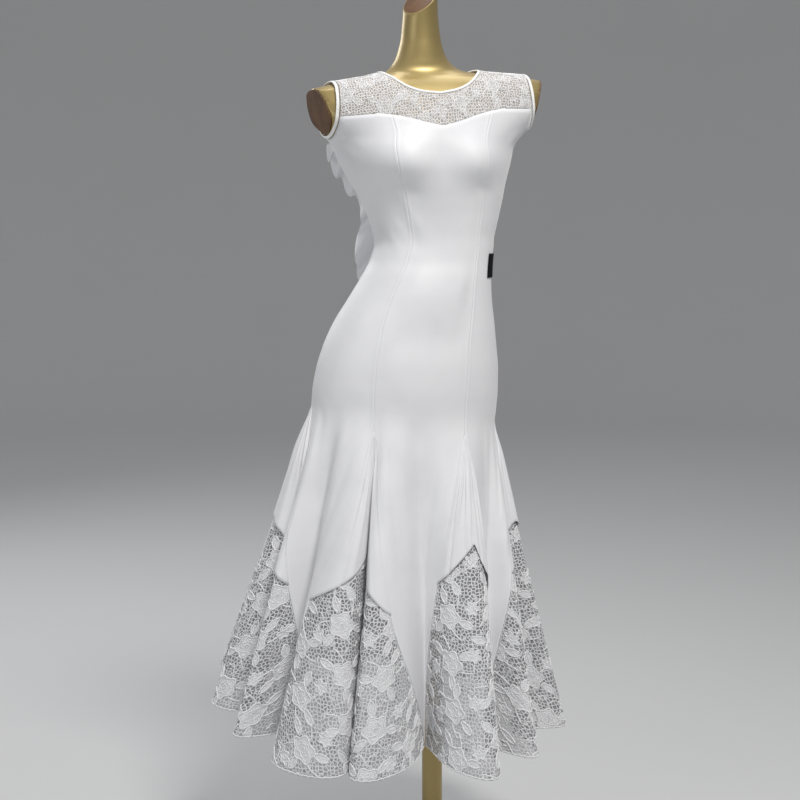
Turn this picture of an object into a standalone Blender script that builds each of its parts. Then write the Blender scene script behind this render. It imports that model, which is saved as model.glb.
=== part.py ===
"""A sleeveless ballroom dance dress on a limbless dress form.

Metres, +Z up, the front of the dress toward -Y, the wearer's right toward -X.
The origin is the centre of the base plate's underside, on the pole's axis.
Angles go round the body in degrees: 0 at the front, +90 at the wearer's left.
"""
import math

import bmesh
import bpy
import numpy as np

GAP = 0.0003              # between pieces that touch
CLEAR = 0.0024            # from the dress form to the cloth
JERSEY = 0.0012           # wall of the jersey panels
LACE = 0.0010             # wall of the lace
OVERLAY_SNAP = 0.018      # an overlay's foot this near a row of the skirt sits on the row
BINDING_WIDTH = 0.005
ARM_EDGE = -0.0009        # cloth edge, inboard of the armhole plane
BINDING_WALL = 0.0018
LABEL_WALL = 0.0008
LIFT = 0.0012             # what lies on curved cloth, off its surface

# The dress form, one row for each level: centre, half width, and depth to front and back.
FORM_COLUMNS = ("z", "cx", "cy", "half", "front", "back")
FORM_RINGS = (
    (0.790, -0.040, 0.010, 0.085, 0.060, 0.066),
    (0.798, -0.043, 0.010, 0.118, 0.082, 0.090),
    (0.820, -0.045, 0.008, 0.145, 0.097, 0.108),
    (0.850, -0.046, 0.006, 0.157, 0.104, 0.116),
    (0.885, -0.046, 0.004, 0.160, 0.106, 0.119),
    (0.925, -0.043, 0.002, 0.157, 0.104, 0.118),
    (0.965, -0.039, 0.000, 0.149, 0.100, 0.112),
    (1.005, -0.032, -0.001, 0.138, 0.095, 0.100),
    (1.045, -0.022, -0.002, 0.123, 0.089, 0.087),
    (1.085, -0.010, -0.002, 0.110, 0.083, 0.077),
    (1.115, -0.001, -0.001, 0.103, 0.078, 0.072),
    (1.145, 0.004, 0.000, 0.101, 0.077, 0.072),
    (1.180, 0.003, 0.000, 0.109, 0.080, 0.078),
    (1.215, 0.000, 0.001, 0.120, 0.087, 0.086),
    (1.245, -0.006, 0.002, 0.132, 0.094, 0.092),
    (1.275, -0.010, 0.003, 0.145, 0.099, 0.097),
    (1.300, -0.012, 0.004, 0.154, 0.100, 0.100),
    (1.320, -0.008, 0.005, 0.168, 0.098, 0.101),
    (1.336, -0.006, 0.006, 0.191, 0.094, 0.098),
    (1.356, -0.005, 0.007, 0.224, 0.088, 0.093),
    (1.380, -0.005, 0.008, 0.236, 0.078, 0.082),
    (1.398, -0.006, 0.010, 0.226, 0.068, 0.070),
    (1.410, -0.009, 0.011, 0.180, 0.058, 0.061),
    (1.418, -0.013, 0.012, 0.114, 0.050, 0.053),
    (1.427, -0.015, 0.012, 0.070, 0.044, 0.047),
    (1.441, -0.017, 0.010, 0.051, 0.040, 0.042),
    (1.460, -0.018, 0.008, 0.041, 0.037, 0.038),
    (1.485, -0.019, 0.006, 0.035, 0.034, 0.035),
    (1.515, -0.020, 0.004, 0.032, 0.032, 0.032),
    (1.548, -0.020, 0.002, 0.0305, 0.031, 0.031),
)
FORM_SIDES = 34
BUST = {"out": 0.020, "across": 0.066, "z": 1.272, "wide": 0.044, "tall": 0.040}
# The neck's flat slanted top, lowest at the front right.
NECK_CUT = {"low": 1.515, "slope": 0.62, "x": -0.045, "y": -0.02}
NECK_START = 1.47
ARM_CUT = {"across": 0.190, "z": 1.372, "lean": math.radians(16), "turn": math.radians(8)}
ARM_HOLE = {"across": 0.168, "z": 1.372, "lean": math.radians(-4), "turn": math.radians(3)}
ARM_CENTRE = {"y": 0.008, "z": 1.366}
SHOULDER_TILT = {"slope": 0.062, "from": 1.22, "to": 1.38, "centre": -0.09}
ARM_PLATE = {"thick": 0.002, "share": 0.93}

POLE_RADIUS = 0.018
BASE_RADIUS = 0.180
BASE_THICK = 0.012
FLANGE = {"radius": 0.036, "height": 0.030}

# The skirt leaves the body along a tilted line and runs straight to its hem.
HIP = {"z": 0.852, "tilt": -0.10}
SKIRT_ROWS = (0.0, 0.045, 0.14, 0.26, 0.38, 0.50, 0.62, 0.74, 0.87, 1.0)
PANEL_TAPER = 0.72
PANEL_TIP = 0.0035         # half the width a panel keeps at the hem
TIP_CLOTH = 0.09           # metres of hem for each fold, at a panel's tip
TIP_FROM = 0.80            # where the lace starts to make room for the panels' tips
GODET_TIP = 0.3            # share of a godet's first stretch that its narrow top leaves open
GODET_PEAK = 0.85          # how much of its seams' spread that narrow top fills
FORM_INSET = 0.0018        # the form's surface, inside the shape the cloth is laid on
# The hem's folds, a row for each ridge or valley: where it starts on the hip, its foot, and how
# broadly the hem runs through it.
FOLD_COLUMNS = ("angle", "x", "y", "z", "spread")
HEM_FOLDS = (
    (-13, -0.120, -0.246, 0.300, 1.6),    # ridge, front right godet
    (1, -0.058, -0.160, 0.306, 0.5),      # valley at the centre front tip
    (17, -0.040, -0.262, 0.300, 1.0),
    (34, 0.022, -0.306, 0.296, 1.6),      # ridge, front left godet
    (54, 0.040, -0.185, 0.302, 0.5),      # valley at the left side front tip
    (70, 0.112, -0.240, 0.298, 1.6),      # ridge, left side godet
    (82, 0.118, -0.112, 0.300, 0.5),
    (94, 0.214, -0.108, 0.300, 1.6),
    (105, 0.150, -0.012, 0.302, 0.5),
    (116, 0.238, 0.060, 0.300, 1.6),
    (126, 0.150, 0.105, 0.304, 0.5),      # valley at the left side back tip
    (138, 0.196, 0.205, 0.302, 1.6),
    (149, 0.098, 0.188, 0.304, 0.5),
    (158, 0.100, 0.312, 0.304, 1.6),
    (166, 0.024, 0.232, 0.306, 0.5),
    (173, -0.018, 0.352, 0.308, 1.6),
    (180, -0.080, 0.245, 0.312, 0.5),     # valley at the centre back tip
    (191, -0.150, 0.350, 0.318, 1.6),
    (206, -0.188, 0.232, 0.324, 0.5),
    (221, -0.262, 0.305, 0.336, 1.6),
    (236, -0.262, 0.190, 0.346, 0.5),     # valley at the right side back tip
    (246, -0.352, 0.198, 0.358, 1.6),
    (256, -0.300, 0.090, 0.358, 0.5),
    (267, -0.390, 0.010, 0.358, 1.6),
    (276, -0.318, -0.048, 0.346, 0.5),
    (288, -0.368, -0.104, 0.334, 1.6),
    (302, -0.262, -0.078, 0.322, 0.5),    # valley at the right side front tip
    (315, -0.316, -0.160, 0.304, 1.0),
    (324, -0.238, -0.246, 0.301, 1.6),
    (332, -0.180, -0.176, 0.304, 0.5),    # valley inside the front right godet
    (339, -0.204, -0.262, 0.300, 1.6),
)

# Seams between panels, angle at each level, on the wearer's left; the right mirrors them.
SEAM_COLUMNS = ("z", "princess_front", "side", "princess_back")
SEAMS = (
    (0.80, 29.0, 90, 153),
    (0.86, 29.5, 90, 153),
    (0.96, 31.0, 90, 153),
    (1.06, 35.0, 90, 152),
    (1.15, 34.0, 90, 152),
    (1.22, 32.5, 90, 152),
    (1.28, 31.0, 90, 150),
    (1.325, 26.5, 90, 150),
    (1.36, 21.5, 90, 150),
)
# Upper edge of the jersey on either side of the armhole, by angle.
EDGE_COLUMNS = ("angle", "z")
SWEETHEART = ((0, 1.330), (8, 1.336), (20, 1.349), (32, 1.356), (42, 1.357), (50, 1.354))
BACK_V = ((112, 1.326), (120, 1.314), (132, 1.293), (148, 1.256), (164, 1.218), (180, 1.196))
# Where the armhole starts, front and back: angle, and the level there.
CORNER_LEVEL = {50.0: 1.354, 112.0: 1.33, 248.0: 1.33, 310.0: 1.354}
BODICE_STEPS = 6
BODICE_LEVELS = (1.175, 1.145, 1.115, 1.085, 1.045, 1.005, 0.965, 0.925, 0.892)

PANELS = (
    # name, left seam, right seam, columns of cloth
    ("panel_centre_front", -1, 1, 8),
    ("panel_side_front_left", 1, 2, 6),
    ("panel_side_back_left", 2, 3, 6),
    ("panel_centre_back", 3, 4, 6),
    ("panel_side_back_right", 4, 5, 6),
    ("panel_side_front_right", 5, 6, 6),
)
# Godets by seam: the fold at each foot, where the seam opens, columns, the overlay's hem, and how
# far the overlay lies off the lace's inner face.
GODET_COLUMNS = ("name", "seam", "first", "last", "opens", "columns", "left_tip", "apex", "right_tip",
                 "apex_at", "lift")
GODETS = (
    ("front_left", 1, 1, 4, 0.045, 12, 0.46, 0.36, 0.49, 0.62, 0.0048),
    ("side_left", 2, 4, 10, 0.0, 18, 0.46, 0.30, 0.46, 0.50, 0.0048),
    ("back_left", 3, 10, 16, 0.045, 18, 0.48, 0.34, 0.50, 0.50, 0.0050),
    ("back_right", 4, 16, 20, 0.045, 12, 0.50, 0.34, 0.48, 0.50, 0.0048),
    ("side_right", 5, 20, 26, 0.0, 18, 0.46, 0.29, 0.46, 0.50, 0.0048),
    ("front_right", -1, 26, 32, 0.045, 18, 0.54, 0.39, 0.56, 0.50, 0.0028),
)
LACE_HOLE = {"size": 0.38, "from_row": 5, "step": 4}

# Lace yokes in a chart about a crosswise axis: across from the centre, turn up from the front.
YOKE_AXIS = {"y": 0.006, "z": 1.335}
NECK_COLUMNS = ("share", "turn", "across")
NECK_FRONT = ((0.0, 31, 0.0), (0.2, 34, 0.027), (0.4, 41, 0.051), (0.6, 53, 0.070), (0.8, 71, 0.084),
              (1.0, 90, 0.089))
NECK_BACK = ((0.0, 143, 0.0), (0.25, 141, 0.032), (0.5, 134, 0.058), (0.75, 116, 0.080), (1.0, 90, 0.089))
NECK_STEPS = 8
EDGE_STEPS = 3             # cloth columns from a seam to the armhole
CENTRE_STEPS = {0.0: 4, 180.0: 3}
YOKE_ARM_STEPS = 8
ARM_SIDES = 28
PLATE_SIDES = 24
SHOULDER_SEAM = 0.25       # degrees from the shoulder's crest to each yoke's edge
YOKE_ROWS = {"yoke_front": 4, "yoke_back": 7}

# Back flounce, right side: seam on the back, and how far its free edge stands off the seam.
FLOUNCE_COLUMNS = ("angle", "dx", "dy", "dz")
FLOUNCE = (
    (114, 0.003, 0.012, -0.008),
    (118, 0.008, 0.026, -0.020),
    (124, 0.010, 0.032, -0.030),
    (132, 0.012, 0.036, -0.036),
    (140, 0.014, 0.038, -0.040),
    (149, 0.020, 0.036, -0.044),
    (158, 0.050, 0.030, -0.062),
    (166, 0.082, 0.022, -0.100),
    (174, 0.092, 0.016, -0.128),
)
FLOUNCE_SEAM = 0.003       # its seam, below the jersey's edge
FLOUNCE_WAVES = 6.5
FLOUNCE_SWING = 0.009
FLOUNCE_STEPS = 30
FLOUNCE_ACROSS = 2

LABEL = {"from": 55.0, "to": 88.0, "low": 1.083, "high": 1.124}

COLOURS = {
    "gold_paint": ((0.42, 0.30, 0.10), 0.30, 0.75),
    "cut_face": ((0.10, 0.045, 0.02), 0.45, 0.10),
    "white_jersey": ((0.86, 0.86, 0.88), 0.55, 0.0),
    "white_lace": ((0.84, 0.84, 0.86), 0.70, 0.0),
    "white_binding": ((0.90, 0.89, 0.86), 0.60, 0.0),
    "black_label": ((0.02, 0.02, 0.022), 0.65, 0.0),
    "base_metal": ((0.10, 0.085, 0.06), 0.35, 0.8),
}


def column(table, names, name):
    """One named column of a table as an array."""
    return np.array([row[names.index(name)] for row in table], dtype=float)


def smooth(keys, values, at):
    """Cubic through the rows that never overshoots them."""
    step = np.diff(keys)
    slope = np.diff(values) / step
    tangent = np.concatenate([[slope[0]], np.zeros(len(keys) - 2), [slope[-1]]])
    same = slope[:-1] * slope[1:] > 0
    mean = 2 * slope[:-1] * slope[1:] / np.where(same, slope[:-1] + slope[1:], 1.0)
    tangent[1:-1] = np.where(same, mean, 0.0)
    at = np.asarray(at, dtype=float)
    i = np.clip(np.searchsorted(keys, at, side="right") - 1, 0, len(keys) - 2)
    u = np.clip((at - keys[i]) / step[i], 0.0, 1.0)
    rise = values[i + 1] - values[i]
    start = step[i] * tangent[i]
    end = step[i] * tangent[i + 1]
    return values[i] + u * start + u**2 * (3 * rise - 2 * start - end) + u**3 * (start + end - 2 * rise)


def ring(name, z):
    """A column of the dress form's table at level z."""
    return smooth(column(FORM_RINGS, FORM_COLUMNS, "z"), column(FORM_RINGS, FORM_COLUMNS, name), z)


def bust_factor(x, z, front):
    """How much further out the front stands at the two cups."""
    across = np.abs(x - ring("cx", z))
    spread = ((across - BUST["across"]) / BUST["wide"])**2 + ((z - BUST["z"]) / BUST["tall"])**2
    return 1.0 + np.where(front, BUST["out"] / 0.1 * np.exp(-spread), 0.0)


def body(angle, z):
    """Point of the dress form at an angle and a level, before its arms are cut."""
    turn = np.radians(angle)
    x = ring("cx", z) + ring("half", z) * np.sin(turn)
    front = np.cos(turn) > 0
    depth = np.where(front, ring("front", z), ring("back", z)) * bust_factor(x, z, front)
    y = ring("cy", z) - depth * np.cos(turn)
    return np.stack([x, y, np.broadcast_to(z, x.shape)], axis=-1)


def inside(x, y, z):
    """Below 1 inside the dress form, above 1 outside it."""
    front = y < ring("cy", z)
    depth = np.where(front, ring("front", z), ring("back", z)) * bust_factor(x, z, front)
    return ((x - ring("cx", z)) / ring("half", z))**2 + ((y - ring("cy", z)) / depth)**2


def saddle(across, turn):
    """Point of the shoulders: distance from the centre, and turn about the crosswise axis."""
    x = across + ring("cx", YOKE_AXIS["z"])
    dy = -np.cos(np.radians(turn))
    dz = np.sin(np.radians(turn))
    near = np.zeros_like(x)
    far = np.full_like(x, 0.22)
    for _ in range(40):
        middle = (near + far) / 2
        within = inside(x, YOKE_AXIS["y"] + middle * dy, YOKE_AXIS["z"] + middle * dz) < 1
        near = np.where(within, middle, near)
        far = np.where(within, far, middle)
    return np.stack([x, YOKE_AXIS["y"] + near * dy, YOKE_AXIS["z"] + near * dz], axis=-1)


def outward(points):
    """Unit normals of the dress form at points on it."""
    step = 0.0005
    x, y, z = points[..., 0], points[..., 1], points[..., 2]
    slope = np.stack([
        inside(x + step, y, z) - inside(x - step, y, z),
        inside(x, y + step, z) - inside(x, y - step, z),
        inside(x, y, z + step) - inside(x, y, z - step),
    ], axis=-1)
    return slope / np.linalg.norm(slope, axis=-1, keepdims=True)


def settle(points):
    """Points brought back onto the dress form along its normals."""
    for _ in range(3):
        out = outward(points)
        x, y, z = points[..., 0], points[..., 1], points[..., 2]
        value = inside(x, y, z) - 1
        step = 0.0005
        ahead = points + out * step
        slope = (inside(ahead[..., 0], ahead[..., 1], ahead[..., 2]) - 1 - value) / step
        points = points - out * (value / slope)[..., None]
    return points


def lean_shoulders(points):
    """The stance of the form: its shoulders rise toward the wearer's left."""
    height = SHOULDER_TILT["to"] - SHOULDER_TILT["from"]
    rise = np.clip((points[:, 2] - SHOULDER_TILT["from"]) / height, 0, 1)
    share = rise**2 * (3 - 2 * rise)
    points[:, 2] += SHOULDER_TILT["slope"] * share * (points[:, 0] - SHOULDER_TILT["centre"])
    return points


def plane_across(plane, y, z, shift=0.0):
    """How far from the centre a plane across the arm stands, at a height and a depth."""
    lean = (z - plane["z"]) * math.tan(plane["lean"])
    return plane["across"] + shift + lean + (y - YOKE_AXIS["y"]) * math.tan(plane["turn"])


def arm_loop(plane, side, shift, count):
    """Closed loop where a plane across the arm meets the dress form."""
    spin = np.linspace(0, 2 * math.pi, count, endpoint=False)
    near = np.zeros(count)
    far = np.full(count, 0.08)
    centre = ring("cx", YOKE_AXIS["z"])
    for _ in range(40):
        reach = (near + far) / 2
        y = ARM_CENTRE["y"] - reach * np.cos(spin)
        z = ARM_CENTRE["z"] + reach * np.sin(spin)
        x = centre + side * plane_across(plane, y, z, shift)
        within = inside(x, y, z) < 1
        near = np.where(within, reach, near)
        far = np.where(within, far, reach)
    return np.stack([x, y, z], axis=-1)


def arm_foot(angle):
    """Level where the armhole's lower edge crosses an angle of the body."""
    low = np.full(np.shape(angle), 1.290)
    high = np.full(np.shape(angle), 1.372)
    for _ in range(40):
        z = (low + high) / 2
        point = body(angle, z)
        across = np.abs(point[..., 0] - ring("cx", YOKE_AXIS["z"]))
        short = across < plane_across(ARM_HOLE, point[..., 1], z, ARM_EDGE)
        low = np.where(short, z, low)
        high = np.where(short, high, z)
    return low


def top_edge(angle):
    """Level of the jersey's upper edge at an angle, the same on both sides."""
    signed = (np.asarray(angle, dtype=float) + 180) % 360 - 180
    angle = np.abs(signed)
    sweet = smooth(column(SWEETHEART, EDGE_COLUMNS, "angle"), column(SWEETHEART, EDGE_COLUMNS, "z"), angle)
    back = smooth(column(BACK_V, EDGE_COLUMNS, "angle"), column(BACK_V, EDGE_COLUMNS, "z"), angle)
    foot = arm_foot(signed)
    foot = np.minimum(foot, SWEETHEART[-1][1])
    front = np.minimum(sweet, np.where(angle > 30, foot, sweet))
    return np.where(angle > 112, back, np.where(angle > 50, foot, front))


def fold_values(name):
    return column(HEM_FOLDS, FOLD_COLUMNS, name)


def hem(w):
    """Point of the hem at fold number w, a smooth closed curve through the folds."""
    feet = np.stack([fold_values("x"), fold_values("y"), fold_values("z")], axis=-1)
    count = len(feet)
    i = np.floor(w).astype(int)
    u = (w - i)[..., None]
    before, start, end, after = (feet[(i + k) % count] for k in (-1, 0, 1, 2))
    spread = fold_values("spread")
    rise = (end - before) / 2 * spread[i % count][..., None]
    run = (after - start) / 2 * spread[(i + 1) % count][..., None]
    span = end - start
    return start + u * rise + u**2 * (3 * span - 2 * rise - run) + u**3 * (rise + run - 2 * span)


def hip_angle(w):
    """Angle on the hip from which the fold line w falls."""
    count = len(HEM_FOLDS)
    turns = fold_values("angle")
    index = np.arange(-count, 2 * count)
    return smooth(index, np.concatenate([turns - 360, turns, turns + 360]), w)


def fold_at(angle):
    """Fold number whose line starts at an angle of the hip."""
    w = np.linspace(-len(HEM_FOLDS), 2 * len(HEM_FOLDS) - 1, 6001)
    return np.interp(angle, hip_angle(w), w)


def hip_point(angle):
    """Point of the cloth on the tilted hip line."""
    z = np.full(np.shape(angle), HIP["z"])
    for _ in range(3):
        z = HIP["z"] + HIP["tilt"] * (body(angle, z)[..., 0] - ring("cx", HIP["z"]))
    point = body(angle, z)
    return point + CLEAR * outward(point)


def skirt(w, t):
    """Point of the skirt on fold line w, from 0 at the hip to 1 at the hem."""
    top = hip_point(hip_angle(w))
    return top + (hem(w) - top) * np.asarray(t)[..., None]


def skirt_normal(w, t):
    """Outward unit normal of the skirt."""
    along = skirt(w + 0.02, t) - skirt(w - 0.02, t)
    down = skirt(w, t + 0.01) - skirt(w, t - 0.01)
    cross = np.cross(down, along)
    return cross / np.linalg.norm(cross, axis=-1, keepdims=True)


def seam_angle(seam, z):
    """Angle of a seam at level z: 1, 2, 3 on the left, 4, 5, 6 on the right, -1 is 6 again."""
    names = ("princess_front", "side", "princess_back")
    number = seam if seam > 0 else 7 + seam
    name = names[number - 1] if number < 4 else names[6 - number]
    angle = smooth(column(SEAMS, SEAM_COLUMNS, "z"), column(SEAMS, SEAM_COLUMNS, name), z)
    signed = angle if number < 4 else 360 - angle
    return signed - 360 if seam < 0 else signed


def godet_of(seam):
    number = seam if seam > 0 else 7 + seam
    for row in GODETS:
        godet = dict(zip(GODET_COLUMNS, row))
        own = godet["seam"] if godet["seam"] > 0 else 7 + godet["seam"]
        if own == number:
            return godet
    return None


def seam_fold(seam):
    """Fold number where a seam meets the hip line."""
    return float(fold_at(seam_angle(seam, HIP["z"])))


def godet_edges(seam, t):
    """Fold numbers of a godet's left and right edge at each t."""
    godet = godet_of(seam)
    top = seam_fold(seam)
    shift = round((top - (godet["first"] + godet["last"]) / 2) / len(HEM_FOLDS)) * len(HEM_FOLDS)
    grown = np.clip((np.asarray(t) - godet["opens"]) / (1 - godet["opens"]), 0, 1)**PANEL_TAPER
    left = top + (godet["first"] + shift - top) * grown
    right = top + (godet["last"] + shift - top) * grown
    return left, right


def fold_length(w, t):
    """Metres of cloth for each fold number, along a row."""
    return np.linalg.norm(skirt(w + 0.01, t) - skirt(w - 0.01, t), axis=-1) / 0.02


def material(name):
    """Principled material of one of the named colours."""
    if name in bpy.data.materials:
        return bpy.data.materials[name]
    colour, roughness, metallic = COLOURS[name]
    made = bpy.data.materials.new(name)
    made.use_nodes = True
    shader = made.node_tree.nodes["Principled BSDF"]
    shader.inputs["Base Color"].default_value = (*colour, 1.0)
    shader.inputs["Roughness"].default_value = roughness
    shader.inputs["Metallic"].default_value = metallic
    made.diffuse_color = (*colour, 1.0)
    return made


def solid(name, points, faces, finish):
    """One named closed body, faces turned outward, shaded smooth with sharp rims."""
    mesh = bpy.data.meshes.new(name)
    placed = lean_shoulders(np.array(points, dtype=float))
    mesh.from_pydata([tuple(point) for point in placed], [], faces)
    work = bmesh.new()
    work.from_mesh(mesh)
    bmesh.ops.recalc_face_normals(work, faces=work.faces)
    work.to_mesh(mesh)
    work.free()
    mesh.shade_smooth()
    mesh.set_sharp_from_angle(angle=math.radians(40))
    mesh.materials.append(material(finish))
    made = bpy.data.objects.new(name, mesh)
    bpy.context.collection.objects.link(made)
    return made


def both_faces(face, count):
    """A face of a wall on its outside and its inside, split along the same lines."""
    made = []
    for k in range(1, len(face) - 1):
        corner = [face[0], face[k], face[k + 1]]
        made.append([n + count for n in corner])
        made.append(corner[::-1])
    return made


def rim(rows, columns, closed):
    """Grid places round the edge of a wall, as loops of (row, column)."""
    top = [(0, j) for j in range(columns)]
    bottom = [(rows - 1, j) for j in range(columns)]
    if closed:
        return [top + [(0, 0)], bottom + [(rows - 1, 0)]]
    right = [(i, columns - 1) for i in range(1, rows)]
    left = [(i, 0) for i in range(rows - 2, 0, -1)]
    return [top + right + bottom[-2::-1] + left + [(0, 0)]]


def wall(name, inner, outer, finish, closed=False, holes=()):
    """Closed wall between two grids of points, with a lozenge cut through each named cell."""
    rows, columns = inner.shape[:2]
    count = rows * columns
    points = [*inner.reshape(-1, 3), *outer.reshape(-1, 3)]
    faces = []

    def number(i, j):
        return i * columns + j % columns

    for i in range(rows - 1):
        for j in range(columns if closed else columns - 1):
            cell = [number(i, j), number(i + 1, j), number(i + 1, j + 1), number(i, j + 1)]
            if (i, j) in holes:
                cut_cell(points, faces, cell, count)
            else:
                faces += both_faces(cell, count)
    for loop in rim(rows, columns, closed):
        for a, b in zip(loop, loop[1:]):
            faces.append([number(*a), number(*b), number(*b) + count, number(*a) + count])
    return solid(name, points, faces, finish)


def cut_cell(points, faces, cell, count):
    """A cell of both faces of a wall, with a hole of the cell's own shape through it."""
    first = len(points)
    for lift in (0, count):
        corners = np.array([points[k + lift] for k in cell])
        centre = corners.mean(axis=0)
        points.extend(centre + (corners - centre) * LACE_HOLE["size"])
    for k in range(4):
        n = (k + 1) % 4
        faces.append([cell[k] + count, cell[n] + count, first + 4 + n, first + 4 + k])
        faces.append([cell[n], cell[k], first + k, first + n])
        faces.append([first + n, first + k, first + 4 + k, first + 4 + n])


def panel_rows(left, right, columns, corner):
    """Angles and levels of a panel's bodice rows, from its upper edge to the hips."""
    shares = np.linspace(0, 1, columns + 1)
    if corner is not None:
        low = seam_angle(left, CORNER_LEVEL[corner])
        split = (corner - low) / (seam_angle(right, CORNER_LEVEL[corner]) - low)
        half = EDGE_STEPS if corner in (50.0, 248.0) else columns - EDGE_STEPS
        rest = np.linspace(split, 1, columns - half + 1)[1:]
        shares = np.concatenate([np.linspace(0, split, half + 1), rest])
    foot = BODICE_LEVELS[0]
    rows = []
    for step in range(BODICE_STEPS):
        level = np.full(columns + 1, 1.33)
        for _ in range(4):
            angle = panel_angles(left, right, shares, level)
            top = top_edge(angle) - GAP / 2
            level = top + (foot - top) * step / BODICE_STEPS
        rows.append((angle, level))
    for foot in BODICE_LEVELS:
        level = np.full(columns + 1, foot)
        rows.append((panel_angles(left, right, shares, level), level))
    return rows, shares


def panel_angles(left, right, shares, level):
    """Angles of a panel's columns, its edges half a gap inside the seams."""
    low = seam_angle(left, level)
    high = seam_angle(right, level)
    radius = (ring("half", level) + ring("front", level)) / 2
    inset = np.degrees(GAP / 2 / radius) * 1.3
    return low + inset + (high - low - 2 * inset) * shares


def make_panel(name, left, right, columns):
    """A jersey panel from the bodice's upper edge to its point at the hem."""
    corner = {1: 50.0, 2: 112.0, 4: 248.0, 5: 310.0}.get(left)
    rows, shares = panel_rows(left, right, columns, corner)
    inner = []
    outer = []
    for angle, level in rows:
        point = body(angle, level)
        out = outward(point)
        inner.append(point + out * CLEAR)
        outer.append(point + out * (CLEAR + JERSEY))
    for t in SKIRT_ROWS:
        edge_left = float(godet_edges(left, t)[1])
        edge_right = float(godet_edges(right, t)[0])
        turns = round((edge_left - edge_right) / len(HEM_FOLDS) + 0.4)
        edge_right += max(turns, 0) * len(HEM_FOLDS)
        inset = GAP / 2 / float(fold_length(np.array([edge_left]), np.array([t]))[0])
        width = max(edge_right - edge_left - 2 * inset, PANEL_TIP / TIP_CLOTH)
        middle = (edge_left + edge_right) / 2
        w = middle + width * (shares - 0.5)
        level = np.full(columns + 1, t)
        inner.append(skirt(w, level))
        outer.append(skirt(w, level) + skirt_normal(w, level) * JERSEY)
    wall(name, np.array(inner), np.array(outer), "white_jersey")


def godet_row(godet, t, shares):
    """Fold numbers across a godet at t, its edges just inside the panels'."""
    left, right = godet_edges(godet["seam"], t)
    pinch = PANEL_TIP / 2 * np.clip((t - TIP_FROM) / (1 - TIP_FROM), 0, 1)
    inset = 2 * GAP + pinch
    left = left + inset / fold_length(left, t)
    right = right - inset / fold_length(right, t)
    return left + (right - left) * shares


def make_godet(godet):
    """A lace godet between two panels, and the shorter jersey overlay on it."""
    columns = godet["columns"]
    shares = np.linspace(0, 1, columns + 1)
    levels = [t for t in SKIRT_ROWS if t > godet["opens"] + 0.02]
    grid = []
    out = []
    for t in levels:
        level = np.full(columns + 1, t)
        w = godet_row(godet, level, shares)
        grid.append(skirt(w, level))
        out.append(skirt_normal(w, level))
    peak = skirt(np.array([seam_fold(godet["seam"])]), np.array([godet["opens"]]))
    point = peak + (grid[0] - peak) * GODET_TIP
    middle = point.mean(axis=0)
    grid.insert(0, middle + (point - middle) * GODET_PEAK)
    out.insert(0, out[0])
    levels.insert(0, godet["opens"] + (levels[0] - godet["opens"]) * GODET_TIP)
    grid = np.array(grid)
    out = np.array(out)
    holes = lace_holes(len(levels), columns)
    wall("godet_lace_" + godet["name"], grid, grid + out * LACE, "white_lace", holes=holes)
    make_overlay(godet, shares, levels, grid, out)


def lace_holes(rows, columns):
    """Cells of a godet that hold the lace's largest gaps, in a staggered repeat toward the hem."""
    return {(i, j) for i in range(max(rows - LACE_HOLE["from_row"], 1), rows - 1)
            for j in range(1, columns - 1) if (i + j) % LACE_HOLE["step"] == 0}


def overlay_hem(godet, shares):
    """How far down each column of an overlay reaches: low at both seams, high between."""
    knots = (0.0, godet["apex_at"], 1.0)
    return np.interp(shares, knots, (godet["left_tip"], godet["apex"], godet["right_tip"]))


def make_overlay(godet, shares, levels, grid, out):
    """The jersey overlay, made from its godet's points, moved out and ended at its own hem."""
    feet = overlay_hem(godet, shares)
    nearest = np.array([min(levels, key=lambda level: abs(level - foot)) for foot in feet])
    feet = np.where(np.abs(feet - nearest) < OVERLAY_SNAP, nearest, feet)
    lifts = np.full(len(levels), godet["lift"])
    lifts[0] = LACE + GAP
    inner = []
    ends = []
    for j, foot in enumerate(feet):
        whole = [k for k, level in enumerate(levels) if level < foot]
        last = len(whole)
        share = (foot - levels[last - 1]) / (levels[last] - levels[last - 1])
        column_points = [(grid[k, j] + out[k, j] * lifts[k], out[k, j]) for k in whole]
        base, lift = (field[last - 1, j] + (field[last, j] - field[last - 1, j]) * share
                      for field in (grid, out))
        column_points.append((base + lift * godet["lift"], lift))
        ends.append((len(inner), len(inner) + len(column_points) - 1))
        inner.extend(column_points)
    points = [base for base, _ in inner]
    points += [base + lift * LACE for base, lift in inner]
    solid("overlay_" + godet["name"], points, overlay_faces(ends, len(inner)), "white_jersey")


def overlay_faces(ends, count):
    """Faces of a wall whose columns of points have different lengths."""
    faces = []
    for (a, a_end), (b, b_end) in zip(ends, ends[1:]):
        shared = min(a_end - a, b_end - b)
        strip = [[a + k, a + k + 1, b + k + 1, b + k] for k in range(shared)]
        if a_end - a > shared:
            strip.append([b_end, *range(a + shared, a_end + 1)])
        if b_end - b > shared:
            strip.append([a_end, *range(b_end, b + shared - 1, -1)])
        for face in strip:
            faces += both_faces(face, count)
    loop = [start for start, _ in ends]
    loop += range(ends[-1][0] + 1, ends[-1][1] + 1)
    loop += [end for _, end in ends[-2::-1]]
    loop += range(ends[0][1] - 1, ends[0][0] - 1, -1)
    for a, b in zip(loop, loop[1:]):
        faces.append([a, b, b + count, a + count])
    return faces


def saddle_place(points):
    """Across and turn of points, the yokes' two coordinates."""
    across = points[..., 0] - ring("cx", YOKE_AXIS["z"])
    turn = np.degrees(np.arctan2(points[..., 2] - YOKE_AXIS["z"], YOKE_AXIS["y"] - points[..., 1]))
    return across, np.where(turn < -90, turn + 360, turn)


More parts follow.
